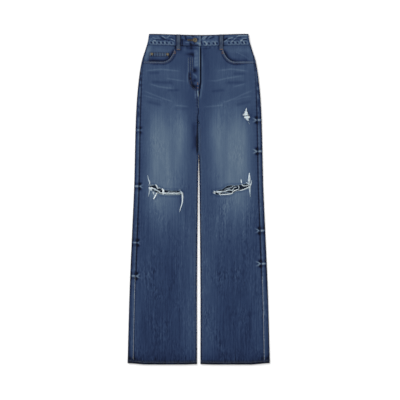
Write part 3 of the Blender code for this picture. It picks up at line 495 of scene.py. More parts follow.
def rise(side, out, down):
    """The centre seam from the fly's end to the crotch, and the fly itself, with painted shadow under the
    fly's edge and down the centre where the legs meet.
    """
    x = out * SIGN[side]
    seam = ease(FLY_END - 4, FLY_END + 6, down) * ease(CROTCH_DOWN + 30, CROTCH_DOWN, down)
    pucker = puckers(down, 11, 45, 30, 0.4)
    height = seam * (0.2 * pucker * bell(x, CENTRE_SEAM - 5, 5) - 0.8 * bell(x, CENTRE_SEAM, 1.3))
    fade = seam * 0.06 * pucker * bell(x, CENTRE_SEAM - 6, 6)
    on_fly = ease(FLY_END + 14, FLY_END - 10, down)
    if side == "right":
        from_edge = FLY_EDGE - x
        wave = puckers(down, 14, 46, 25, 0.5, 0.02 * x)
        height = height + on_fly * (0.35 * wave * bell(from_edge, 9, 8) - 0.5 * bell(from_edge, 0, 1.2))
        worn_edge = (0.30 + 0.20 * ease(114, 98, down)) * ease(166, 158, down)
        panel = ease(18.5, 12.5, out) * ease(45, 54, down) * ease(114, 99, down) * ease(3.5, 8, from_edge)
        fade = fade + worn_edge * bell(from_edge, 1.5, 1.7) + (0.27 + 0.05 * wave) * panel
    else:
        height = height - on_fly * 1.1 * bell(x, 5.6, 2.4)
        # Painted shadow under the fly's overlapping edge: a black band on the left front
        shut = ease(38, 52, down) * (0.6 * ease(170, 160, down) + 0.4 * ease(186, 176, down))
        fade = fade + on_fly * 0.16 * bell(x, 11.4, 3) - 1.3 * shut * np.exp(-(((x - 5.6) / 2.7) ** 4))
    # Painted shadow down the centre below the fly and between the legs, from its table
    downs, places, shadow_depths = np.array(CENTRE_SHADOW).T
    dark = np.interp(down, downs, shadow_depths, left=0.0, right=0.0)
    return height, fade - dark * bell(x, np.interp(down, downs, places), 1.7 + 1.1 * ease(320, 350, down))


def waist_edge(side, out, down):
    """Where the panels go into the waistband."""
    below = down - PANEL_START
    pucker = puckers(out, 13, 51, 30, 0.4)
    height = 0.25 * pucker * bell(below, 2, 7) - 0.7 * bell(below, 0, 2.2)
    return height, 0.08 * pucker * bell(below, 4, 6) - 0.10 * bell(below, 0, 1.8)


def hem_edge(side, out, down):
    """The panels pucker towards the hem, and are darker there; near the outer fold the darkening is painted
    shade where the cloth rolls away.
    """
    above = HEM_START - down
    pucker = puckers(out, 9.5, 52, 26, 0.4)
    height = 0.3 * pucker * np.exp(-np.maximum(above, 0) / 7) - 0.5 * bell(above, 0, 1.6)
    fade = 0.05 * pucker * bell(above, 0, 7) - 0.16 * bell(above, 0, 2)
    corner = bell(above, 4, 7) * ease(34, 18, half_width(down) - out)
    return height, fade - 0.06 * ease(34, 6, above) - 0.22 * corner


def pocket_edge(side, out, down):
    """The doubled edge of a front pocket's opening, with its two rows of stitches. The dark line along the
    inner row and the ditch below the doubled edge are painted shade.
    """
    inward = scoop_distance(out, down)
    beyond = ease(SCOOP_TOP[0] - 12, SCOOP_TOP[0], out)
    pucker = np.sin(2 * np.pi * np.hypot(out, down) / 8)
    rows = bell(inward, 2, 0.8) + bell(inward, 8, 0.8)
    height = 0.45 * ease(10.5, 8.5, inward) - 0.35 * rows + 0.12 * pucker * bell(inward, 5, 5)
    pale = -0.05 if side == "right" else 0.22
    # The paler edge on the left front is wear; the darker line at the inner row and the ditch are painted
    # shade
    worn = pale * bell(inward, 1.6, 1.8) + (0.08 * pucker - 0.12) * bell(inward, 5.6, 1.8)
    ditch = (0.36 + 0.10 * pucker) * ease(166, 146, out) * bell(inward, 9.4, 1.8)
    return beyond * height, beyond * (worn - ditch)


def rips(side, out, down):
    """Cloth is thin, pale and curled at the edge of a rip."""
    height, fade = 0.0, 0.0
    for rip in RIPS[side]:
        away = np.maximum(rip_distance(rip, out, down), 0)
        height = height + 0.5 * np.exp(-away / 1.5) - 0.3 * bell(away, 5, 3)
        fade = fade + 0.14 * np.exp(-away / 1.4) - 0.14 * bell(away, 4.5, 3)
    return height, fade


def drape(side, out, down):
    """Small unevenness of cloth that lies on a table."""
    seed = 61 if side == "right" else 62
    return 0.30 * noise(seed, out / 46, down / 90) + 0.10 * noise(seed + 2, out / 15, down / 22), 0.0


FEATURES = (spots, whiskers, tucks, outseam, inseam, rise, waist_edge, hem_edge, pocket_edge, rips, drape)


def upper_side(side, out, down):
    """Height of the garment's upper side at places of one leg, and how worn its denim is there, with painted
    shade and light added.
    """
    top = LEG_TOP + (HIP_TOP - LEG_TOP) * ease(HIP_END[1], HIP_END[0], down)
    top = top + fold_height(side, out, down) * ease(0, 30, seam_x(down) - out)
    if side == "right":
        top = top + FLY_RISE * ease(50, 17, out) * ease(245, 205, down)
    fade = wash(out, down)
    for feature in FEATURES:
        height, paler = feature(side, out, down)
        top = top + height
        fade = fade + paler
    return rolled(top, out, down), fade


# Making meshes


def grid_faces(rows, columns, flipped=False):
    """Faces of a grid of points that are stored row by row."""
    first = (np.arange(rows - 1)[:, None] * columns + np.arange(columns - 1)).ravel()
    faces = np.stack([first, first + columns, first + columns + 1, first + 1], 1)
    return (faces[:, ::-1] if flipped else faces).tolist()


def tube_faces(rings, sides, flipped=False):
    """Faces of a tube whose points are stored ring by ring."""
    ring = np.arange(sides)
    a, b = ring, (ring + 1) % sides
    corners = [a, b, b + sides, a + sides] if flipped else [a, a + sides, b + sides, b]
    return (np.arange(rings - 1)[:, None, None] * sides + np.stack(corners, 1)).reshape(-1, 4)


def trim(points, faces, keep):
    """Cuts away the part of a surface where keep, one number for each point, is below 0. The cut runs
    smoothly between the points. Gives the new points and faces."""
    inside = keep > 0
    grown, found, kept = [tuple(p) for p in points], {}, []
    for face in faces:
        held = [inside[i] for i in face]
        if all(held):
            kept.append(face)
        elif any(held):
            ring = []
            for a, b in zip(face, face[1:] + face[:1]):
                if inside[a]:
                    ring.append(a)
                if inside[a] != inside[b]:
                    key = (min(a, b), max(a, b))
                    if key not in found:
                        share = np.clip(keep[a] / (keep[a] - keep[b]), 0.04, 0.96)
                        found[key] = len(grown)
                        grown.append(tuple(points[a] + (points[b] - points[a]) * share))
                    ring.append(found[key])
            kept.append(ring)
    return np.array(grown), kept


def mesh_piece(name, points, faces, material):
    """A piece of the object that rides on the garment's one body."""
    used = np.unique(np.concatenate([np.array(f) for f in faces]))
    renumber = np.zeros(len(points), int)
    renumber[used] = np.arange(len(used))
    mesh = bpy.data.meshes.new(name)
    mesh.from_pydata((points[used] * MM).tolist(), [], [renumber[list(f)].tolist() for f in faces])
    mesh.update()
    mesh.polygons.foreach_set("use_smooth", np.ones(len(mesh.polygons), bool))
    mesh.materials.append(material)
    made = bpy.data.objects.new(name, mesh)
    bpy.context.scene.collection.objects.link(made)
    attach(made, "root")
    return made, used


def set_wear_and_shade(made, fade):
    """Gives each point how worn or pale it is, painted shade and light included, for the material to read.
    """
    attribute = made.data.attributes.new("fade", "FLOAT", "POINT")
    attribute.data.foreach_set("value", np.clip(fade, -0.4, 1.2).astype(np.float32))


def cloth(name, node, points, faces, fade, thickness=CLOTH, slot_name="denim"):
    """A thin sheet of denim that stands for a solid: its points are its outer face."""
    made, used = mesh_piece(name, points, faces, MATERIALS[slot_name])
    made.data.materials.append(MATERIALS["inside"])
    set_wear_and_shade(made, fade[used])
    wall = made.modifiers.new("wall", "SOLIDIFY")
    wall.thickness = thickness * MM
    wall.offset = -1
    wall.material_offset = 1
    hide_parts(node)


# Legs


def front_inner(side, down):
    """How far out the front panel's inner edge lies: the fly, the centre seam, then the inseam."""
    centre = FLY_EDGE + (CENTRE_SEAM - FLY_EDGE) * ease(150, 205, down)
    if side == "left":
        centre = centre - LAP * ease(FLY_END + 12, FLY_END, down)
    centre = centre * SIGN[side]
    return centre + (inner_x(down) + INSEAM_IN - centre) * ease(CROTCH_DOWN - 15, CROTCH_DOWN + 5, down)


def front_panel(side):
    first, last = PANEL_START - 2, HEM_START + 1
    near = np.array([0, 0.7, 1.5, 2.5, 4, 6, 8.2, 10.6])
    widest = seam_x(last)
    shares = np.linspace(0, 1, round(widest / FRONT_CELL[0]))[1:-1]
    rows = []
    for down in np.linspace(first, last, round((last - first) / FRONT_CELL[1])):
        inner, outer = front_inner(side, down), seam_x(down)
        between = inner + near[-1] + (outer - inner - 2 * near[-1]) * shares
        outs = np.concatenate([inner + near, between, (outer - near)[::-1]])
        rows.append(np.stack([outs, np.full(len(outs), down)], 1))
    faces = grid_faces(len(rows), len(rows[0]), side == "right")
    flat = np.concatenate(rows)
    keep = scoop_distance(*flat.T)
    for rip in RIPS[side]:
        keep = np.minimum(keep, rip_distance(rip, *flat.T))
    flat, faces = trim(flat, faces, keep)
    out, down = flat.T
    z, fade = upper_side(side, out, down)
    if side == "left":
        z = z - 0.2 * ease(2, -5, out) * ease(FLY_END + 12, FLY_END, down)
    cloth(
        f"cloth_front_{side}", f"front_{side}", spread(out * SIGN[side], down, z), faces, fade,
    )


def inner_tail(side, down):
    """Places (out, z) of the back where it curls round the inner fold, as far as it has come."""
    inner = inner_x(down)
    z, _ = upper_side(side, inner + INSEAM_IN, down)
    top, base = z + 0.4, seat_bottom(inner, down)
    radius = (top - base) / 2
    strip = INSEAM_IN - radius
    reach = strip + math.pi * radius
    short = reach * (1 - ease(*CURL_ROWS, down))
    end_angle = max((short - strip) / radius, math.pi / 2)
    fold = inner - radius * (1 - math.sin(end_angle))
    places = []
    steps = np.concatenate([[0, 0.4, 0.75], np.linspace(1, 1 + math.pi * radius / strip, 9)])
    for length in steps * strip + short:
        if length < strip:
            places.append((fold + radius + strip - length, top - 0.5 * bell(length, 0, 0.9)))
        elif length < reach:
            angle = (length - strip) / radius
            places.append((fold + radius * (1 - math.sin(angle)), base + radius * (1 + math.cos(angle))))
        else:
            out = fold + radius + length - reach
            places.append((out, seat_bottom(out, down)))
    return np.array(places[::-1]).T


def yoke_down(out):
    """The yoke seam, higher at the side than at the centre back."""
    return YOKE_CENTRE + (YOKE_SIDE - YOKE_CENTRE) * np.minimum(1.0, np.abs(out) / half_width(YOKE_SIDE))


def behind(side, part, downs, slants):
    """A piece of the back, from the outseam over the fold, along the floor and round the inner fold. A slant
    moves a row down towards the middle, as the yoke's seam does."""
    upper = (1 - np.linspace(0, 1, 13)) ** 1.5
    quarter = np.radians(np.linspace(0, 90, 7))[1:]
    rows, wear_and_shade_rows = [], []
    for down, slant in zip(downs, slants):
        edge, seam = half_width(down), seam_x(down)
        over = edge - (edge - seam) * upper
        over_z, _ = upper_side(side, over, np.full(len(over), down))
        base = seat_bottom(edge, down)
        radius = over_z[-1] - base
        tail_out, tail_z = inner_tail(side, down)
        under = np.linspace(edge - radius, tail_out[0], 22)[1:-1]
        outs = np.concatenate([over, edge - radius * (1 - np.cos(quarter)), under, tail_out])
        slanted = down + slant * (yoke_down(outs) - YOKE_SIDE)
        floor_z = seat_bottom(under, slanted[len(over) + len(quarter) : -len(tail_out)])
        zs = np.concatenate([over_z, over_z[-1] - radius * np.sin(quarter), floor_z, tail_z])
        rows.append(spread(outs * SIGN[side], slanted, zs))
        _, above = upper_side(side, outs, np.full(len(outs), down))
        below = 0.42 + 0.05 * noise(71, outs / 20, down / 40)
        on_tail = np.arange(len(outs)) >= len(outs) - len(tail_out)
        upward = np.where(on_tail, ease(0.5 * tail_z[-1], 0.8 * tail_z[-1], zs), ease(0, radius, zs - base))
        wear_and_shade_rows.append(below + (above - below) * upward)
    faces = grid_faces(len(rows), len(rows[0]), side == "right")
    points, fade = np.concatenate(rows), np.concatenate(wear_and_shade_rows)
    cloth(f"cloth_{part}_{side}", f"{part}_{side}", points, faces, fade)


def yoke(side):
    downs = np.linspace(PANEL_START - 2, YOKE_SIDE, 16)
    behind(side, "yoke", downs, ease(downs[0], downs[-1], downs))


def back_panel(side):
    length = HEM_START + 1 - YOKE_SIDE
    downs = np.linspace(YOKE_SIDE, YOKE_SIDE + length, round(length / BACK_CELL))
    behind(side, "back", downs, ease(240, YOKE_SIDE, downs))


def hem(side):
    """The turned hem of a leg: a flat ring, roped by the row of stitches that holds it."""
    rows, wear_and_shade_rows = [], []
    outer_turn, inner_turn = np.radians(np.linspace(0, 180, 11)), np.radians(np.linspace(0, 180, 9))
    for from_top in np.linspace(-2.5, HEM_HEIGHT, 13):
        down = HEM_START + max(from_top, 0)
        edge, inner = half_width(down), inner_x(down)
        swell = 1 - (2 * from_top / HEM_HEIGHT - 1) ** 4 if from_top > 0 else 0.0
        top, base = LEG_TOP + 0.5 + 0.5 * swell, 0.4 - 0.4 * swell
        radius = (top - base) / 2
        out = np.concatenate([
            edge - radius + radius * np.sin(outer_turn),
            np.linspace(edge - radius, inner + radius, 26)[1:-1],
            inner + radius - radius * np.sin(inner_turn),
            np.linspace(inner + radius, edge - radius, 112)[1:],
        ])
        z = base + radius + radius * np.concatenate([
            np.cos(outer_turn), np.full(24, -1.0), -np.cos(inner_turn), np.ones(111),
        ])
        rope = puckers(out, 7.5, 53, 26, 0.4, from_top / 14)
        row = bell(from_top, 3.2, 1.4)
        z = z + ease(radius, 2 * radius, z) * (0.3 * rope * swell - 0.3 * row)
        tack = ease(0.1, 0.7, noise(57, out / 4.2, from_top / 3))
        bottom = ease(4.5, 8.0, from_top)
        fade = 0.25 + 0.08 * rope * swell - 0.12 * row - 0.36 * bottom + 0.26 * bottom * tack
        rows.append(spread(out * SIGN[side], down, z) - [0, min(from_top, 0), 0])
        # Darker towards the outer fold: painted shade where the cloth rolls away
        wear_and_shade_rows.append(fade - 0.2 * np.exp(-np.maximum(edge - out, 0) / 7))
    cloth(
        f"cloth_hem_{side}", f"hem_{side}", np.concatenate(rows),
        grid_faces(len(rows), len(rows[0]), side == "right"), np.concatenate(wear_and_shade_rows),
        1.6, "denim_trim",
    )


# Waistband, belt loops and pockets


def band_rise(x):
    """How far the waistband's right end is lifted by the end under it."""
    return np.where(x > BAND_END, 0.0, BAND_RISE * ease(*BAND_RAMP, x))


def band_relief(x, down):
    """Puckers, slanting creases and edges of the waistband's front, as a height and a tone. Darkening beside
    the belt loops is painted shadow; the dark rows along the top edge and towards the folds at the sides are
    painted shade where the band rolls over.
    """
    height = 0.2 * noise(85, x / 9, down / 9)
    fade = 0.56 + 0.05 * noise(86, x / 12, down / 9)
    for strength, half, route in BAND_CREASES:
        crease = 1.3 * strength * bell(beside(route, x, down)[0], 0, half)
        height = height + crease
        fade = fade + crease
    for dot in BAND_DOTS:
        across, below = x - dot, down - BAND_DOT_DOWN
        dent = bell(np.hypot(across / 2.4, below / 2.9), 0, 1)
        ring = bell(np.hypot(across - 0.35 * below, 0.8 * below), 5.6, 1.7)
        height = height - 0.9 * dent + 0.35 * ring
        fade = fade - 0.56 * dent + 0.27 * ring
    # Painted shadow of the belt loops on the band beside them
    for middle in FRONT_LOOPS.values():
        beyond = np.abs(x - middle) - 6.3
        fade = fade - 0.45 * bell(np.maximum(beyond, 0), 0, 4.0) * ease(-3, 0, beyond)
    # Painted shade along the top edge and towards the side folds, where the band rolls over; the bottom edge
    # is darker too
    dashes = ease(-0.6, 0.6, noise(84, x / 9, 0.5))
    fade = fade - (0.52 + 0.34 * dashes) * bell(down, 0, 2.5) - 0.20 * bell(down, BAND_HEIGHT, 1.6)
    from_fold = np.maximum(half_width(down) - np.abs(x), 0)
    fade = fade + 0.08 * bell(down, 34, 1.2) - 0.50 * np.exp(-from_fold / 2.2)
    fade = fade - 0.16 * bell(x, -30, 20) + 0.08 * bell(np.hypot((x + 4) / 6, (down - 27) / 7), 0, 1)
    worn_end = 0.36 * bell(x, BAND_END - 2.6, 3.2) * (x <= BAND_END)
    shadow = 0.5 * ease(18, 9, down) * bell(x, BAND_END + 1.8, 1.9)
    return height - 0.5 * bell(down, 2.6, 0.9) - 0.35 * bell(down, 33, 0.9), fade + worn_end - shadow


def band_path(down):
    """Places (x, z) round the waistband's outer face, from the end that lies under to the end over it, and
    how far each is on the upper side."""
    edge = half_width(down)
    radius = (BAND_TOP - SEAT_LIFT) / 2
    across = edge - 1.9 * radius
    turn = np.radians(np.linspace(0, 180, 17))
    above = turn < math.pi / 2
    turn_out = np.where(above, across, edge - radius) + np.where(above, 1.9, 1.0) * radius * np.sin(turn)
    turn_z = SEAT_LIFT + radius + radius * np.cos(turn)
    turn_upper = ease(math.pi * 0.6, 0.2, turn)
    left = np.linspace(BAND_END - UNDERLAP, across, 132)[:-1]
    under = np.linspace(edge - radius, radius - edge, 40)[1:-1]
    right = np.linspace(-across, BAND_END, 118)[1:]
    parts = [
        (left, np.full(len(left), BAND_TOP), np.ones(len(left))),
        (turn_out, turn_z, turn_upper),
        (under, np.full(len(under), SEAT_LIFT), np.zeros(len(under))),
        (-turn_out[::-1], turn_z[::-1], turn_upper[::-1]),
        (right, BAND_TOP + band_rise(right), np.ones(len(right))),
    ]
    return np.concatenate([np.array(part) for part in parts], axis=1)


def buttonhole_distance(x, y):
    """Distance from the middle line of the buttonhole, which runs from the button to the wearer's right."""
    beyond = np.maximum(np.maximum(x - BUTTON_X, BUTTON_X - HOLE_LENGTH - x), 0)
    return np.hypot(beyond, y - place_y(BUTTON_X, BUTTON_DOWN))


def waistband():
    rows, wear_and_shade_rows = [], []
    bottom = BAND_HEIGHT + 1
    for down in np.linspace(0, bottom, 25):
        x, z, upper = band_path(down)
        height, fade = band_relief(x, down)
        edge_drop = 0.9 * (bell(down, 0, 1.6) + bell(down, bottom, 1.8))
        end_drop = 0.7 * bell(x, BAND_END, 1.2) * (np.arange(len(x)) > len(x) / 2)
        rows.append(spread(x, down, z + upper * (height - edge_drop) - end_drop))
        wear_and_shade_rows.append(fade * upper + 0.42 * (1 - upper))
    points = np.column_stack([np.concatenate(rows), np.concatenate(wear_and_shade_rows)])
    columns = len(rows[0])
    on_end = np.tile(np.arange(columns) > columns - 60, len(rows))
    keep = np.where(on_end, buttonhole_distance(points[:, 0], points[:, 1]) - 0.7, 1.0)
    points, faces = trim(points, grid_faces(len(rows), columns), keep)
    cloth(
        "cloth_waistband", "waistband", points[:, :3], faces, points[:, 3],
        1.7,
    )


def patch(name, node, shares, downs, place, flipped, thickness=CLOTH, slot_name="denim"):
    """A laid piece of cloth over a grid of shares and downs. place gives x, z and the tone, wear with
    painted shade, for them.
    """
    share, down = (a.ravel() for a in np.meshgrid(shares, downs))
    x, z, fade = place(share, down)
    faces = grid_faces(len(downs), len(shares), flipped)
    cloth(name, node, spread(x, down, z), faces, fade, thickness, slot_name)


def loop_height(side, across, down):
    """Height of a front loop's face: across runs from -1 to 1 over its width."""
    band = BAND_TOP + float(band_rise(FRONT_LOOPS[side] + LOOP_WIDTH / 2)) + 1.9
    panel = HIP_TOP + 1.9
    stations = np.array([
        (-0.4, band - 0.8), (0.8, band), (6, band + 0.2), (13, band + 1.1), (22, band + 1.4),
        (30, band + 1.0), (36.5, band + 0.2), (41, panel + (band - panel) * 0.35), (45, panel),
        (LOOP_LENGTH, panel - 0.1), (LOOP_LENGTH + 0.9, panel - 0.9),
    ])
    z = np.interp(down, *stations.T)
    return z + 0.25 - 0.75 * across**6 - 0.22 * bell(np.abs(across), 0.62, 0.12)


def front_loop(side):
    def place(across, down):
        worn = noise(91 if side == "right" else 92, across * 2, down / 7)
        # Darker towards the rolled edges and at the lower end: painted shade where the loop turns down
        fade = 0.60 - 0.26 * np.abs(across) ** 7 + 0.08 * worn - 0.12 * bell(down, 31, 6)
        fade = fade - 0.25 * bell(down, LOOP_LENGTH, 1.5)
        return FRONT_LOOPS[side] + across * LOOP_WIDTH / 2, loop_height(side, across, down), fade

    shares = np.sin(np.linspace(-math.pi / 2, math.pi / 2, 17))
    downs = np.concatenate([[-0.4, 0.2, 1.0], np.linspace(2, 50, 44), [51, 51.5, 51.9]])
    patch(
        f"cloth_loop_front_{side}", f"belt_loop_front_{side}", shares, downs, place, False,
        1.2, "denim_trim",
    )


def back_loop(name):
    def place(share, down):
        worn = 0.4 + 0.08 * noise(93, share * 3, down / 8) - 0.2 * np.abs(share) ** 4
        lifted = 0.3 + 0.5 * share**6 + 0.5 * bell(down, 0.5, 1)
        return BACK_LOOPS[name] + share * LOOP_WIDTH / 2, lifted, worn

    patch(
        f"cloth_loop_back_{name}", f"belt_loop_back_{name}", np.linspace(-1, 1, 11),
        np.linspace(0.5, 49, 30), place, True, 0.8, "denim_trim",
    )


def facing_z(side, out, down):
    """Outer face of the cloth that shows inside a front pocket's opening."""
    seam, low = seam_x(down), FACING_TOP[side]
    to_band = ease(60, 38, down) * ease(79, 97, out)
    to_seam = ease(seam - 28, seam - 2, out) * ease(91, 76, down)
    return low + (HIP_TOP - low) * np.maximum(to_band, to_seam)


def facing_wear_and_shade(side, out, down):
    """The facing is in painted shadow along the edge of the opening and in painted shade towards the fold
    and just under the waistband, and worn towards the waistband.
    """
    inside = np.maximum(-scoop_distance(out, down), 0)
    from_fold = half_width(down) - out
    shadow = 0.44 * bell(inside, 0, 8.5) + 0.10 * np.exp(-inside / 16)
    shadow = shadow * ease(42, 58, down) * (1 - 0.75 * ease(30, 14, from_fold))
    if side == "right":
        pale = 0.17 * bell(from_fold, 11, 8)
    else:
        crease, _ = beside([(124, 60), (150, 72), (166, 84)], out, down)
        pale = 0.02 * bell(from_fold, 11, 8) + 0.12 * bell(crease, 0, 2.2)
        shadow = shadow * (1 - 0.45 * ease(110, 128, out))
    # Painted shade where the cloth rolls round the fold, and just under the waistband
    edge = 0.22 * np.exp(-np.maximum(from_fold, 0) / 4)
    band = 0.06 * bell(down, PANEL_START + 1, 2.5) - 0.14 * bell(down, 50, 11) + 0.08 * ease(58, 46, down)
    return 0.56 + 0.05 * noise(95, out / 22, down / 16) + pale - shadow - edge - band


def pocket_facing(side):
    def place(share, down):
        inner, outer = SCOOP_TOP[0] - FACING_REACH, seam_x(down)
        out = inner + (outer - inner) * share
        z = facing_z(side, out, down) + 0.2 * noise(96, out / 9, down / 7)
        z = z - 0.6 * bell(down, PANEL_START, 2.4) - 0.9 * bell(out, outer, 1.6)
        return out * SIGN[side], rolled(z, out, down), facing_wear_and_shade(side, out, down)

    patch(
        f"cloth_facing_{side}", f"pocket_facing_{side}", np.linspace(0, 1, 72),
        np.linspace(PANEL_START - 2, SCOOP_FLOOR + FACING_REACH, 46), place, side == "right",
    )


def coin_relief(out, down):
    """Height of the coin pocket, with its turned and roped top hem, and how much paler it is there."""
    from_top = down - COIN_TOP
    hem_part = ease(13.5, 11.5, from_top)
    rope = puckers(out, 7.2, 97, 15, 0.25) * hem_part
    sides = bell(out, COIN[0], 1.2) + bell(out, COIN[1], 1.2)
    height = 1.25 + 0.6 * hem_part + 0.35 * rope - 0.6 * bell(from_top, 0, 1.2) - 0.5 * sides
    fade = 0.40 * rope - 0.25 * bell(from_top, 0, 1.6) - 0.04 * hem_part - 0.16 * bell(from_top, 13.5, 1.6)
    return facing_z("right", out, down) + height, fade - 0.22 * sides


def coin_pocket():
    def place(share, down):
        out = COIN[0] + (COIN[1] - COIN[0]) * share
        z, paler = coin_relief(out, down)
        return -out, z, facing_wear_and_shade("right", out, down) + paler

    downs = np.linspace(COIN_TOP, SCOOP_FLOOR + FACING_REACH - 1.5, 38)
    patch(
        "cloth_coin_pocket", "coin_pocket", np.linspace(0, 1, 64), downs, place, True,
    )


def seat_outline(share, down):
    """x of a seat pocket at a share of its width, from its inner to its outer edge."""
    (x0, x1), (top, tip) = SEAT_POCKET_X, SEAT_POCKET_DOWN
    corner = tip - 24
    lower = np.clip((down - corner) / 24, 0, 1)
    drawn = 6 * np.clip((down - top) / (corner - top), 0, 1)
    return (x0 + x1) / 2 + ((x1 - x0) / 2 - drawn) * (1 - 0.985 * lower) * (2 * share - 1)


def seat_pocket(side):
    def place(share, down):
        edge = np.minimum(share, 1 - share) * (SEAT_POCKET_X[1] - SEAT_POCKET_X[0])
        rim = bell(edge, 0, 1.2) + bell(down, SEAT_POCKET_DOWN[0], 1.2)
        fade = 0.44 + 0.06 * noise(98, share * 6, down / 20) - 0.12 * rim
        return seat_outline(share, down) * SIGN[side], 0.3 + 0.4 * rim, fade

    patch(
        f"cloth_seat_pocket_{side}", f"back_pocket_{side}", np.linspace(0, 1, 48),
        np.linspace(*SEAT_POCKET_DOWN, 60), place, side == "left", 0.8,
    )


# Stitches: short arched dashes of thread, joined into one mesh for each kind of thread


class Stitching:
    """Collects dashes of one thread, and makes them one piece."""

    # Rings of a dash: place along it, thickness, and height over the cloth
    RINGS = [(-1.0, 0.35, -0.6), (-0.72, 0.9, 0.35), (0.0, 1.0, 0.75), (0.72, 0.9, 0.35), (1.0, 0.35, -0.6)]
    SIDES = 6

    def __init__(self, colour, dark, light):
        self.name, self.material = f"stitches_{colour}", thread_material(f"{colour}_thread", dark, light)
        self.middles, self.headings, self.sizes = [], [], []

    def row(self, route, radius=THREAD, pitch=3.7, length=3.0, up=1.0):
        """Dashes along a route of points in space."""
        route = np.array(route)
        place = np.concatenate([[0], np.cumsum(np.linalg.norm(np.diff(route, axis=0), axis=1))])
        count = max(int(place[-1] / pitch), 1)
        centres = (np.arange(count) + 0.5) * place[-1] / count
        start, middle, end = (
            np.stack([np.interp(centres + shift, place, route[:, k]) for k in range(3)], 1)
            for shift in (-length / 2, 0, length / 2)
        )
        self.middles.append(middle)
        self.headings.append((end - start) / 2)
        self.sizes.append(np.tile([radius, up], (count, 1)))

    def finish(self):
        middle, heading = np.concatenate(self.middles), np.concatenate(self.headings)
        radius, up = np.concatenate(self.sizes).T
        aside = np.cross(heading, [0, 0, 1])
        aside /= np.linalg.norm(aside, axis=1)[:, None] + 1e-12
        corners = []
        for station, girth, lift in self.RINGS:
            for angle in 2 * math.pi * np.arange(self.SIDES) / self.SIDES:
                corner = middle + heading * station + aside * (radius * girth * math.cos(angle))[:, None]
                corner[:, 2] += radius * girth * math.sin(angle) + up * radius * lift
                corners.append(corner)
        first = np.arange(len(middle))[:, None, None] * len(corners)
        faces = (first + tube_faces(len(self.RINGS), self.SIDES)).reshape(-1, 4)
        points = np.stack(corners, 1).reshape(-1, 3)
        mesh_piece(self.name, points, faces.tolist(), self.material)


def on_front(side, out, down):
    """Points of a route that lies on a front panel."""
    out, down = np.broadcast_arrays(out, down)
    return spread(out * SIGN[side], down, upper_side(side, out, down)[0] + 0.1)


def on_band(x, down, lift):
    return spread(x, down, BAND_TOP + band_rise(x) + band_relief(x, down)[0] + lift)


def scoop_route(inward):
    """Places (out, down) along a front pocket's edge, a distance in from it."""
    a, b = SCOOP_RADII
    angle = np.radians(np.linspace(17, 90, 60))
    normal = np.stack([-np.cos(angle) / a, np.sin(angle) / b])
    normal /= np.hypot(*normal)
    out = SCOOP_TOP[0] + a * (1 - np.cos(angle)) + normal[0] * inward
    down = SCOOP_TOP[1] + b * np.sin(angle) + normal[1] * inward
    tail = np.linspace(out[-1], seam_x(SCOOP_FLOOR) - 2, 30)[1:]
    return np.concatenate([out, tail]), np.concatenate([down, np.full(len(tail), down[-1])])


def stitch_pockets():
    for side in SIGN:
        THREADS["tan"].row(on_front(side, *scoop_route(1.9)), 0.42)
        THREADS["brown"].row(on_front(side, *scoop_route(5.6)), 0.36)
    downs = np.linspace(COIN_TOP + 1, SCOOP_FLOOR + 4, 30)
    for out in (COIN[0] + 1.5, COIN[1] - 1.5):
        THREADS["brown"].row(spread(-out, downs, coin_relief(out, downs)[0]))
    outs = np.linspace(COIN[0] + 1, COIN[1] - 1, 60)
    for down in (COIN_TOP + 2.2, COIN_TOP + 11.5):
        THREADS["brown"].row(spread(-outs, down, coin_relief(outs, down)[0] + 0.15))


def stitch_front():
    """The fly's curve and its three rows, the centre seam, and the outseams and inseams."""
    outs, downs = smooth_route(FLY_CURVE)
    width = FLY_CURVE[0][0]
    for inward in (0, 6.6):
        route = outs * (width - inward) / width, downs - inward * (1 - outs / width)
        THREADS["brown"].row(on_front("right", *route), 0.36)
    for out in (34.2, 27.6, 21):
        THREADS["grey"].row(on_front("right", out, np.linspace(75, 122, 30)), 0.36)
    THREADS["grey"].row(on_front("right", 1.3, np.linspace(192, 244, 30)), 0.32)
    THREADS["seam"].row(on_front("right", 8, np.linspace(192, CROTCH_DOWN - 6, 40)), 0.3)
    for side in SIGN:
        upper_leg = np.linspace(SCOOP_FLOOR + 4, 800, 260)
        lower_leg = np.linspace(800, HEM_START, 120)
        inner_leg = np.linspace(CROTCH_DOWN + 14, HEM_START, 300)
        THREADS["seam"].row(on_front(side, seam_x(upper_leg) + 2.4, upper_leg))
        THREADS["pale"].row(on_front(side, seam_x(lower_leg) + 2.4, lower_leg), 0.44)
        THREADS["seam"].row(on_front(side, inner_x(inner_leg) + INSEAM_IN + 2.0, inner_leg))


def stitch_band():
    for down in (2.6, 33):
        for x0, x1 in ((-158, 4), (9, 158)):
            THREADS["seam"].row(on_band(np.linspace(x0, x1, 160), down, 0.05))
    THREADS["seam"].row(on_band(3.5, np.linspace(3, 33, 20), 0.0), 0.25)


def bartack(thread, x0, down0, width, depth, height_at, count, radius=0.34):
    """A dense block of zigzag stitches across a short bar."""
    number = np.arange(2 * count + 1)
    x = x0 + width * (number / (2 * count) - 0.5)
    down = down0 + depth * np.where(number % 2, 0.5, -0.5)
    places = spread(x, down, height_at(x, down) + radius)
    for a, b in zip(places, places[1:]):
        THREADS[thread].row([a, b], radius, 9, math.dist(a, b) * 1.05)


def stitch_loops():
    for side, middle in FRONT_LOOPS.items():
        def on_loop(x, down, side=side, middle=middle):
            return loop_height(side, (x - middle) / (LOOP_WIDTH / 2), down)

        bartack("copper", middle, LOOP_LENGTH - 1.8, LOOP_WIDTH * 0.86, 2.4, on_loop, 11)
        bartack("seam", middle, 2.4, LOOP_WIDTH * 0.86, 2.2, on_loop, 11)
        downs = np.linspace(3, LOOP_LENGTH - 2, 60)
        for share in (-0.62, 0.62):
            x = middle + share * LOOP_WIDTH / 2
            THREADS["seam"].row(spread(x, downs, loop_height(side, share, downs)), 0.25)


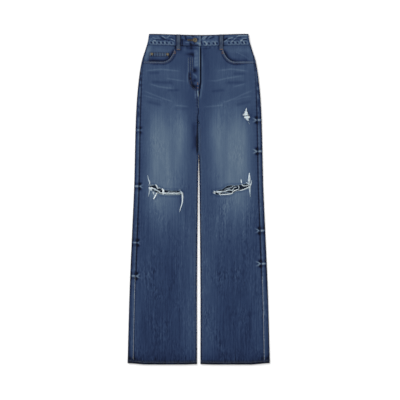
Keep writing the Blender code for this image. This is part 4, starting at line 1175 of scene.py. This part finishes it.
def stitch_tacks():
    """Bars that hold the ends of the pocket openings and the fly."""
    opening = SCOOP_TOP[0] - 0.5
    bars = [(side, opening * SIGN[side], down, 6.5, 1.6, 5, 0.34) for side in SIGN for down in (57, 60, 63)]
    bars += [("right", -3.4, down, 3.6, 3, 4, 0.3) for down in (161, 165.5, 177)]
    for side, x0, down0, width, depth, count, radius in bars:
        def on_panel(x, down, side=side):
            return upper_side(side, np.abs(x), down)[0]

        bartack("copper", x0, down0, width, depth, on_panel, count, radius)


def stitch_hems():
    outs = np.linspace(inner_x(LENGTH) + 2, half_width(LENGTH) - 4, 200)
    for sign in SIGN.values():
        THREADS["grey"].row(spread(outs * sign, HEM_START + 3.2, LEG_TOP + 0.9), 0.24, 4.2, 3.3)


def stitch_back():
    """Rows on the side that lies on the floor: yokes and seat pockets."""
    top, tip = SEAT_POCKET_DOWN
    outs = np.linspace(3, 176, 90)
    for sign in SIGN.values():
        routes = []
        for above in (2, 7):
            down = yoke_down(outs) - above
            routes.append(spread(outs * sign, down, seat_bottom(outs, down) - 0.05))
        down = np.linspace(top + 2, tip - 2, 90)
        for share in (0.02, 0.98):
            routes.append(spread(seat_outline(share, down) * sign, down, 0.42))
        for down in (top + 2.5, top + 12):
            routes.append(spread(seat_outline(np.linspace(0.02, 0.98, 60), down) * sign, down, 0.42))
        for route in routes:
            THREADS["tan"].row(route, up=-1.0)


def stitch_buttonhole():
    """Close satin stitches all round the keyhole."""
    y, end = place_y(BUTTON_X, BUTTON_DOWN), BUTTON_X - HOLE_LENGTH
    spokes = [(x, 0, turned) for x in np.arange(end, BUTTON_X - 3, 0.62) for turned in (-1, 1)]
    spokes += [(end, math.cos(angle), math.sin(angle)) for angle in np.radians(np.arange(100, 261, 20))]
    for x, across, upward in spokes:
        ends = []
        for reach in (0.6, 3.0):
            lift = BAND_TOP + BAND_RISE + band_relief(x + across * reach, BUTTON_DOWN)[0] + 0.3
            ends.append((x + across * reach, y + upward * reach, lift))
        THREADS["brown"].row(ends, 0.36, 9, math.dist(ends[0][:2], ends[1][:2]))


# Loose yarns of the rips


class Yarns:
    """Collects thin yarns, and makes them one piece."""

    def __init__(self, side, seed):
        self.side, self.chance = side, np.random.default_rng(seed)
        self.points, self.faces, self.shades = [], [], []

    def yarn(self, out, down, z, radius, start_shade, end_shade, sides=5):
        """A tube along a route, thinner at its ends. Its shade goes from 0, dyed, to 1, white."""
        route = spread(out * SIGN[self.side], down, z)
        heading = np.gradient(route, axis=0)
        heading /= np.linalg.norm(heading, axis=1)[:, None] + 1e-12
        aside = np.cross(heading, [0, 0, 1.0])
        aside /= np.linalg.norm(aside, axis=1)[:, None] + 1e-12
        above = np.cross(aside, heading)
        taper = 0.35 + 0.65 * np.sqrt(np.sin(np.linspace(0.06, math.pi - 0.06, len(route))))
        rings = []
        for angle in 2 * math.pi * np.arange(sides) / sides:
            spoke = aside * math.cos(angle) + above * math.sin(angle)
            rings.append(route + spoke * (radius * taper)[:, None])
        first = sum(len(points) for points in self.points)
        self.faces += (first + tube_faces(len(route), sides, True)).tolist()
        self.points.append(np.stack(rings, 1).reshape(-1, 3))
        self.shades.append(np.repeat(np.linspace(start_shade, end_shade, len(route)), sides))

    def bundle(self, route, widths, count, above, shade, radius=0.34):
        """Yarns side by side along a route of (out, down), each wandering a little. The bundle's widths are
        those at its start, middle and end; above is how far over the cloth's face it lies."""
        steps = max(int(sum(math.dist(a, b) for a, b in zip(route, route[1:])) / 1.8), 5)
        outs, downs = smooth_route(route, steps)
        across = np.stack([-np.gradient(downs), np.gradient(outs)])
        across /= np.hypot(*across) + 1e-9
        share = np.linspace(0, 1, steps)
        width = np.interp(share, [0, 0.5, 1], widths)
        for i in range(count):
            place = (i + 0.5) / count - 0.5
            wander = noise(int(self.chance.integers(1e6)), share * steps / 4.2, 0.5)
            aside = place * width + wander * (0.25 + 0.1 * width)
            start, end = self.chance.uniform(0, 0.10, 2)
            keep = slice(int(start * steps), max(int((1 - end) * steps), 4))
            out, down = (outs + across[0] * aside)[keep], (downs + across[1] * aside)[keep]
            heap = 0.35 * math.sqrt(count) * max(0.0, 1 - 2 * abs(place)) * self.chance.uniform(0.2, 1.0)
            wave = 0.25 * noise(int(self.chance.integers(1e6)), np.arange(len(out)) / 4, 0.5)
            z = upper_side(self.side, out, down)[0] + radius + above + heap + wave
            paler = self.chance.uniform(-0.2, 0.15)
            thickness = radius * self.chance.uniform(0.8, 1.15)
            self.yarn(out, down, z, thickness, shade[0] + paler, shade[1] + paler)

    def fringe(self, rip, count):
        """Short hairs that stand out of a rip's edges into it."""
        outs, uppers, lowers = np.array(rip).T
        t = np.linspace(0, 1, 5)
        for _ in range(count):
            out = self.chance.uniform(outs[0] + 1, outs[-1] - 1)
            upper, lower = np.interp(out, outs, uppers), np.interp(out, outs, lowers)
            from_top = self.chance.random() < 0.5
            start = upper - 0.6 if from_top else lower + 0.6
            reach = min(self.chance.uniform(2.0, 6.0), (lower - upper) * 0.6) * (1 if from_top else -1)
            bend = self.chance.uniform(-2.2, 2.2)
            z = upper_side(self.side, out, start)[0] + 0.2 - 0.5 * t - 1.2 * t**2
            pale = self.chance.uniform(0.2, 0.7)
            radius = self.chance.uniform(0.09, 0.16)
            self.yarn(out + bend * t**2, start + reach * t, z, radius, pale, pale, 3)

    def finish(self, name, node):
        made, used = mesh_piece(name, np.concatenate(self.points), self.faces, MATERIALS["yarn"])
        set_wear_and_shade(made, np.concatenate(self.shades)[used])
        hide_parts(node)


# Bundles of yarns at the knees: route as (out, down), widths, number of yarns, height over the cloth, shades
KNEE_RIGHT = [
    ([(134, 524), (110, 525), (84, 525.6), (54, 524.6)], (2.6, 3.2, 2.8), 10, 0.0, (0.95, 0.9)),
    ([(128, 529.6), (100, 530.2), (56, 529.4)], (1.4, 1.8, 1.8), 5, 0.1, (0.5, 0.6)),
    ([(104, 520), (86, 521), (70, 520)], (0.8, 1.2, 0.8), 2, 0.2, (0.5, 0.5)),
    ([(163, 506), (157, 513), (155, 520)], (3.4, 6.0, 2.0), 8, 0.4, (0.85, 0.8)),
    ([(62, 518), (57, 522), (54.5, 530)], (3, 4.4, 3.6), 8, 0.5, (0.6, 0.85)),
    ([(167, 498.5), (158, 498.8), (146, 498.2)], (3, 4.0, 2.0), 7, 0.0, (0.5, 0.45)),
    ([(143, 496), (138, 503), (135.5, 511.5)], (2.4, 3.4, 2.4), 8, 0.5, (0.85, 0.9)),
    ([(158, 509), (146, 511.5), (126, 522.5)], (3.0, 4.2, 2.6), 8, 0.2, (0.75, 0.85)),
    ([(148, 517), (139, 515), (130, 522)], (2.0, 3.4, 2.0), 5, 0.2, (0.6, 0.5)),
    ([(137, 509.5), (130, 508.5), (124, 509)], (1.6, 2.6, 1.0), 5, 0.4, (0.7, 0.6)),
    ([(121, 510), (116.5, 519), (118, 532)], (3.0, 5.0, 2.4), 9, 1.0, (0.95, 0.95)),
    ([(114, 514), (118.5, 523), (114, 531)], (1.6, 3.0, 1.4), 4, 1.2, (0.95, 0.9)),
    ([(136.5, 523), (143, 534), (150.5, 547)], (3.4, 3.8, 2.6), 9, 0.3, (0.9, 1.0)),
    ([(151.5, 520), (149, 526), (148, 532.5)], (3.0, 5.0, 2.4), 7, 0.2, (0.75, 0.7)),
    ([(164, 506), (161.5, 512), (161, 520)], (4, 8, 3), 8, 0.2, (0.7, 0.6)),
    ([(158, 506), (153, 508), (150, 512)], (2, 3.4, 2), 5, 0.4, (0.9, 0.8)),
    ([(162, 516), (163.5, 526), (167.5, 540)], (3.8, 3.0, 0.8), 6, 0.2, (0.65, 0.35)),
    ([(168.6, 466), (165.5, 479), (161.8, 490), (160.5, 499)], (0.8, 3.4, 3.6), 8, 0.2, (0.6, 0.75)),
    ([(65.5, 515.4), (61.5, 512.6), (57.3, 514)], (0.6, 1.6, 0.6), 3, 0.2, (0.5, 0.5)),
    ([(100, 520), (98.5, 523), (99, 526)], (0.8, 1.8, 0.8), 3, 0.9, (0.6, 0.7)),
]
TAIL_RIGHT = [
    ([(55, 522.5), (53.6, 538), (54.2, 553), (57, 566), (60.4, 577.5), (63.4, 590)],
     (4.6, 3.4, 0.8), 11, 0.4, (1.0, 0.8)),
]
KNEE_LEFT = [
    ([(48.5, 521), (53, 523), (58, 524.5)], (7, 8.4, 5), 12, 0.3, (0.75, 0.8)),
    ([(58, 521), (67, 521.5), (78, 521)], (6, 6.4, 3), 11, 0.3, (0.8, 0.75)),
    ([(66, 525.5), (74, 529.5), (95, 528.5), (108.7, 526.5), (114.3, 519.6), (127.9, 514), (136, 516.4)],
     (1.8, 2.6, 2.4), 8, 0.3, (0.9, 0.95)),
    ([(134, 516.6), (140, 516), (157, 510), (170, 504)], (2.4, 2.6, 3.0), 8, 0.4, (0.95, 0.85)),
    ([(72, 520), (85.3, 519.6), (100.8, 515), (110.7, 516), (116.3, 508), (128, 505.5)],
     (3.0, 2.0, 1.6), 6, 0.1, (0.8, 0.65)),
    ([(76, 525), (90, 524), (106, 521.4)], (2.6, 3.4, 1.6), 7, -0.1, (0.3, 0.24)),
    ([(83, 514), (95, 510), (108.7, 506), (114.3, 500)], (1.2, 1.8, 1.2), 4, 0.1, (0.55, 0.6)),
    ([(88, 516), (99, 512.5), (108, 511)], (0.8, 1.4, 0.8), 3, 0.1, (0.45, 0.45)),
    ([(131, 500), (132.6, 508), (130, 514)], (1.8, 2.2, 1.2), 5, 0.8, (0.8, 0.75)),
    ([(112, 503), (118, 501), (124, 503)], (0.8, 1.6, 0.8), 3, 0.2, (0.5, 0.5)),
    ([(66, 527), (70, 530.5), (76, 537)], (2.0, 1.8, 0.6), 4, 0.3, (0.7, 0.45)),
    ([(139.4, 479.5), (140.6, 487), (142.4, 495)], (1.2, 3.8, 2.4), 7, 0.3, (0.95, 0.9)),
    ([(142, 495.5), (146, 500.5), (154, 501.5), (165, 499.5)], (1.8, 2.0, 1.8), 6, 0.2, (0.85, 0.8)),
    ([(155, 488), (158, 491), (163, 493)], (0.8, 1.8, 2.0), 4, 0.2, (0.6, 0.6)),
]
TAIL_LEFT = [
    ([(167, 459), (166.6, 472), (166.4, 486), (167, 502)], (1.6, 7.6, 8.0), 14, 0.3, (1.0, 0.75)),
    ([(167.6, 459), (166.8, 466), (166.2, 478)], (2.4, 3.2, 3.0), 7, 0.8, (0.95, 0.9)),
    ([(158, 490), (163, 494), (171, 498)], (2.4, 4.0, 4), 7, 0.4, (0.6, 0.85)),
    ([(174.5, 483), (173, 492), (169, 503)], (2.0, 3.4, 3), 6, 0.4, (0.6, 0.85)),
    ([(167.5, 498), (168.4, 511), (169.4, 526), (170.4, 541)], (8, 4.0, 0.6), 11, 0.5, (0.9, 0.4)),
]

# Pieces of yarns: node, name, side, seed, bundles, and the rip whose edges have hairs
YARN_PIECES = [
    ("knee_yarns_right", "yarns_knee_right", "right", 11, KNEE_RIGHT, KNEE_RIP_RIGHT),
    ("knee_tail_right", "yarns_tail_right", "right", 12, TAIL_RIGHT, None),
    ("knee_yarns_left", "yarns_knee_left", "left", 13, KNEE_LEFT, KNEE_RIP_LEFT),
    ("knee_tail_left", "yarns_tail_left", "left", 14, TAIL_LEFT, None),
]


def knee_yarns():
    for node, name, side, seed, bundles, rip in YARN_PIECES:
        yarns = Yarns(side, seed)
        for bundle in bundles:
            yarns.bundle(*bundle)
        if rip:
            yarns.fringe(rip, 110)
        yarns.finish(name, node)


def thigh_yarns():
    """Undyed yarns lie close across the whole of the small rip, with one gap between them."""
    yarns = Yarns("left", 15)
    outs, uppers, lowers = np.array(THIGH_RIP).T
    across = np.arange(145.5, 170.5, 0.5)
    for down in np.arange(243, 289, 0.85):
        below_upper = np.interp(across, outs, uppers) < down + 0.8
        inside = across[below_upper & (np.interp(across, outs, lowers) > down - 0.8)]
        if len(inside) and not 269 < down < 270.6:
            tilt = yarns.chance.uniform(-1.0, 1.0)
            start, end = inside[0] - 0.6, inside[-1] + 0.6
            route = [(start, down - tilt), ((start + end) / 2, down), (end, down + tilt)]
            yarns.bundle(route, (0.5, 0.5, 0.5), 1, -0.2, (0.84, 0.84), 0.46)
    yarns.bundle([(163.5, 290), (166, 295), (169, 301)], (1.6, 2.6, 0.8), 5, 0.2, (0.5, 0.3))
    yarns.finish("yarns_thigh_left", "thigh_yarns_left")


# Button and rivets


def turned_piece(name, node, curve, corners, place, steps, scale=1.0):
    """A turned piece of metal. Its profile, (radius, height) over a place, is a curve and then corners."""
    radii, heights = smooth_route(curve, 6 * len(curve))
    profile = [*zip(np.maximum(radii, 0.02), heights), *corners]
    angles = np.linspace(0, 2 * math.pi, steps, endpoint=False)
    rings = []
    for radius, height in profile:
        ring = np.stack([np.cos(angles), np.sin(angles), np.full(steps, height)], 1)
        rings.append(ring * [scale * radius, scale * radius, 1] + place)
    faces = tube_faces(len(profile), steps).tolist()
    made, _ = mesh_piece(name, np.concatenate(rings), faces, MATERIALS["brass"])
    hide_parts(node)


def button():
    low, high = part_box("button")
    head = high.z / MM - 3.4
    base = low.z / MM - head
    curve = [
        (0.02, 2.6), (1.4, 2.65), (3.0, 3.0), (3.6, 3.35), (4.3, 3.0), (5.4, 2.35), (6.3, 2.5), (7.2, 2.85),
        (8.0, 2.4), (8.5, 1.4), (8.1, 0.4), (6.8, 0.05),
    ]
    place = (BUTTON_X, place_y(BUTTON_X, BUTTON_DOWN), head)
    turned_piece("brass_button", "button", curve, [(2.5, 0), (2.4, base), (0.02, base)], place, 56, 0.86)


def coin_rivet(number):
    low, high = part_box(f"coin_rivet_{number}")
    curve = [(0.02, 1.2), (0.9, 1.45), (1.7, 1.2), (2.3, 0.85), (3.2, 1.15), (4.1, 0.9), (4.6, 0.3)]
    place = ((low.x + high.x) / 2 / MM, (low.y + high.y) / 2 / MM, low.z / MM + 0.5)
    turned_piece(f"brass_rivet_{number}", f"coin_rivet_{number}", curve, [(4.5, 0), (0.02, 0)], place, 36)


# Materials


def linear(red, green, blue):
    """A colour given as the eye sees it, 0 to 255, as light."""
    channels = []
    for value in (red, green, blue):
        share = value / 255
        channels.append(share / 12.92 if share <= 0.04045 else ((share + 0.055) / 1.055) ** 2.4)
    return (*channels, 1.0)


class Nodes:
    """Short ways to make the nodes of one material."""

    def __init__(self, name, roughness, metallic=0.0, specular=0.3, sheen=0.0):
        self.material = bpy.data.materials.new(name)
        self.material.use_nodes = True
        self.tree = self.material.node_tree
        self.shader = self.tree.nodes["Principled BSDF"]
        self.shader.inputs["Roughness"].default_value = roughness
        self.shader.inputs["Metallic"].default_value = metallic
        self.shader.inputs["Specular IOR Level"].default_value = specular
        self.shader.inputs["Sheen Weight"].default_value = sheen
        self.place = self.node("TexCoord").outputs["Object"]

    def node(self, kind, inputs=None):
        """A node whose inputs are numbers or other nodes' outputs."""
        made = self.tree.nodes.new(f"ShaderNode{kind}")
        for socket, value in (inputs or {}).items():
            if isinstance(value, bpy.types.NodeSocket):
                self.tree.links.new(value, made.inputs[socket])
            else:
                made.inputs[socket].default_value = value
        return made

    def fade(self):
        """What each piece says of how worn or pale it is, painted shade and light included."""
        made = self.node("Attribute")
        made.attribute_name = "fade"
        return made.outputs["Fac"]

    def stretched(self, scale):
        """Object coordinates, scaled on each axis: larger numbers make finer patterns, for each metre."""
        return self.node("Mapping", {"Vector": self.place, "Scale": scale}).outputs["Vector"]

    def noise(self, scale, detail=2.0, distortion=0.0):
        """Random numbers around 0.5."""
        place = self.stretched(scale)
        settings = {"Scale": 1.0, "Detail": detail, "Distortion": distortion, "Vector": place}
        return self.node("TexNoise", settings).outputs["Fac"]

    def math(self, operation, a, b):
        made = self.node("Math", {0: a, 1: b})
        made.operation = operation
        return made.outputs[0]

    def swing(self, value, amount):
        """A pattern around 0.5, made to swing around 0 by an amount."""
        return self.math("MULTIPLY", self.math("SUBTRACT", value, 0.5), amount)

    def add(self, *values):
        total = values[0]
        for value in values[1:]:
            total = self.math("ADD", total, value)
        return total

    def twill(self, pitch):
        """Diagonal ribs of the weave, a pitch apart, from 0 to 1."""
        across = 0.5 / pitch / MM
        place = self.stretched((across, across * 0.55, 0))
        made = self.node("TexWave", {"Scale": 1.0, "Distortion": 0.6, "Detail": 1.0, "Vector": place})
        made.wave_type = "BANDS"
        made.bands_direction = "DIAGONAL"
        return made.outputs["Fac"]

    def finish(self, value, stops, relief=None, distance=0.0, strength=0.0):
        """Colours a value by the stops of a ramp, and makes bumps of a relief. Gives the material."""
        ramp = self.node("ValToRGB", {"Fac": value})
        elements = ramp.color_ramp.elements
        while len(elements) < len(stops):
            elements.new(0.5)
        for element, (position, colour) in zip(elements, stops):
            element.position = position
            element.color = linear(*colour)
        self.tree.links.new(ramp.outputs["Color"], self.shader.inputs["Base Color"])
        if relief is not None:
            bump = self.node("Bump", {"Height": relief, "Strength": strength, "Distance": distance})
            self.tree.links.new(bump.outputs["Normal"], self.shader.inputs["Normal"])
        return self.material


# Colours of the denim and its trim by tone, from 0 to 1: the lowest stops serve the painted shadows, and the
# others run from raw to worn pale denim
DENIM_STOPS = [
    (0, (4, 11, 28)), (0.2, (20, 32, 60)), (0.4, (36, 52, 82)), (0.55, (48, 65, 93)), (0.7, (62, 80, 106)),
    (0.85, (82, 100, 120)), (1, (112, 127, 139)),
]
TRIM_STOPS = [
    (0, (4, 9, 22)), (0.2, (19, 28, 50)), (0.4, (38, 49, 72)), (0.55, (54, 65, 84)), (0.7, (70, 82, 98)),
    (0.85, (90, 103, 114)), (1, (116, 128, 134)),
]


def denim_material(name, stops):
    """Washed twill: how worn it is, with painted shade and light, comes with each piece as a point
    attribute.
    """
    made = Nodes(name, 0.9, specular=0.1, sheen=0.05)
    y = made.node("SeparateXYZ", {"Vector": made.place}).outputs["Y"]
    span = {"Value": y, "From Min": 0.10, "From Max": -0.14, "To Min": 0.32, "To Max": 1.0}
    grain = made.node("MapRange", span).outputs["Result"]
    uneven = made.math("POWER", made.math("MULTIPLY", made.noise((17, 10, 9), 1.0), 2.0), 3.0)
    slubs = made.math("MULTIPLY", made.swing(made.noise((330, 60, 25), 2.0, 0.9), 0.44), uneven)
    lines = made.swing(made.noise((360, 6, 20), 0.0), 0.32)
    fine_slubs = made.swing(made.noise((760, 40, 40)), 0.32)
    weave = made.math("MULTIPLY", made.add(slubs, lines, fine_slubs), grain)
    mottle = made.swing(made.noise((70, 14, 30), 2.0), 0.08)
    fleck = made.swing(made.noise((1400, 1100, 900), 1.0), 0.16)
    ribs = made.swing(made.twill(1.0), 0.05)
    relief = made.add(ribs, made.swing(made.noise((900, 160, 300)), 0.12))
    return made.finish(made.add(made.fade(), weave, mottle, fleck, ribs), stops, relief, 0.0014, 0.6)


def shaded_inside_material():
    """The inner face of the denim, painted dark navy for the shade it lies in where it shows through the
    rips.
    """
    made = Nodes("shaded_denim_inside", 0.92, specular=0.1)
    value = made.add(made.noise((700, 60, 60)), made.swing(made.twill(1.0), 0.2))
    stops = [(0.2, (12, 18, 30)), (0.5, (22, 30, 46)), (0.8, (36, 46, 64))]
    return made.finish(value, stops, value, 0.0004, 0.5)


def thread_material(name, dark, light):
    """Spun thread: fine slanting plies, and patches where the dye has gone."""
    made = Nodes(name, 0.7, specular=0.25, sheen=0.1)
    value = made.add(made.noise((170, 170, 170)), made.swing(made.noise((3500, 3500, 3500), 1.0), 0.5))
    return made.finish(value, [(0.25, dark), (0.75, light)], made.twill(0.35), 0.0001, 0.5)


def yarn_material():
    """Undyed cotton. How white each yarn is comes with it, as a point attribute."""
    made = Nodes("bare_cotton", 0.9, specular=0.15, sheen=0.1)
    value = made.add(made.fade(), made.swing(made.noise((120, 120, 120)), 0.3))
    stops = [(0.0, (58, 76, 102)), (0.4, (122, 140, 156)), (0.7, (186, 202, 212)), (1.0, (236, 244, 246))]
    return made.finish(value, stops, made.noise((2600, 900, 900)), 0.0002, 0.5)


def brass_material():
    """Antique brass: brown in its hollows and brighter where it is rubbed."""
    made = Nodes("antique_brass", 0.5, 0.7, 0.4)
    value = made.noise((420, 420, 420), 4.0)
    stops = [(0.3, (48, 44, 38)), (0.5, (92, 85, 70)), (0.7, (138, 129, 108))]
    return made.finish(value, stops, value, 0.0002, 0.4)


def tape_material():
    made = Nodes("woven_tape", 0.85, specular=0.2)
    value = made.add(made.noise((900, 300, 300)), made.swing(made.twill(0.6), 0.3))
    return made.finish(value, [(0.3, (16, 20, 34)), (0.7, (34, 42, 62))], value, 0.0003, 0.5)


def floor_material():
    made = Nodes("studio_paper", 0.95, specular=0.1)
    return made.finish(made.noise((3, 3, 3)), [(0.3, (250, 250, 250)), (0.7, (252, 252, 252))])


# Stage


def floor():
    mesh = bpy.data.meshes.new("floor")
    half = 6.0
    corners = [(-half, -half, 0), (half, -half, 0), (half, half, 0), (-half, half, 0)]
    mesh.from_pydata(corners, [], [(0, 1, 2, 3)])
    mesh.materials.append(floor_material())
    made = bpy.data.objects.new("floor", mesh)
    made.location.z = -0.2 * MM
    bpy.context.scene.collection.objects.link(made)


def area_light(name, place, size, power):
    """A soft box that faces the middle of the garment."""
    light = bpy.data.lights.new(name, "AREA")
    light.shape = "SQUARE"
    light.size = size
    light.energy = power
    made = bpy.data.objects.new(name, light)
    made.location = place
    made.rotation_euler = (-made.location).to_track_quat("-Z", "Y").to_euler()
    bpy.context.scene.collection.objects.link(made)


def studio():
    scene = bpy.context.scene
    world = bpy.data.worlds.new("studio")
    world.use_nodes = True
    background = world.node_tree.nodes["Background"]
    background.inputs["Color"].default_value = (1.0, 1.0, 1.0, 1.0)
    background.inputs["Strength"].default_value = 0.86
    scene.world = world
    area_light("key", (-3.4, 3.0, 3.4), 2.0, 150)
    area_light("fill", (3.0, 1.0, 5.0), 3.0, 34)
    scene.view_settings.view_transform = "Standard"


def camera():
    """Looks straight down. The photograph is 400 pixels wide, and a pixel is 3.3 mm on the garment."""
    pixel, distance, sensor = 3.3 * MM, 6.0, 36.0
    middle = (4.2 * MM, -2.5 * MM)
    data = bpy.data.cameras.new("camera")
    data.sensor_width = sensor
    data.lens = sensor * distance / (400 * pixel)
    made = bpy.data.objects.new("camera", data)
    made.location = (*middle, distance + LEG_TOP * MM)
    bpy.context.scene.collection.objects.link(made)
    bpy.context.scene.camera = made


camera()
MATERIALS = {
    "denim": denim_material("washed_denim", DENIM_STOPS),
    "denim_trim": denim_material("washed_trim", TRIM_STOPS),
    "inside": shaded_inside_material(),
    "yarn": yarn_material(),
    "brass": brass_material(),
}

for leg in SIGN:
    front_panel(leg)
    back_panel(leg)
    yoke(leg)
    hem(leg)
    pocket_facing(leg)
    front_loop(leg)
    seat_pocket(leg)
for loop_name in BACK_LOOPS:
    back_loop(loop_name)
waistband()
coin_pocket()

THREADS = {
    colour: Stitching(colour, dark, light) for colour, dark, light in (
        ("tan", (108, 106, 96), (164, 156, 140)), ("seam", (40, 42, 58), (66, 70, 90)),
        ("pale", (140, 150, 160), (208, 214, 214)), ("copper", (84, 66, 60), (132, 110, 100)),
        ("grey", (84, 94, 100), (128, 138, 138)), ("brown", (46, 42, 37), (84, 77, 66)),
    )
}
stitch_pockets()
stitch_front()
stitch_band()
stitch_loops()
stitch_tacks()
stitch_hems()
stitch_back()
stitch_buttonhole()
for thread in THREADS.values():
    thread.finish()

knee_yarns()
thigh_yarns()
button()
for rivet_number in (1, 2):
    coin_rivet(rivet_number)
zip_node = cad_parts["zip"]
zip_node.data.materials.clear()
zip_node.data.materials.append(tape_material())

floor()
studio()
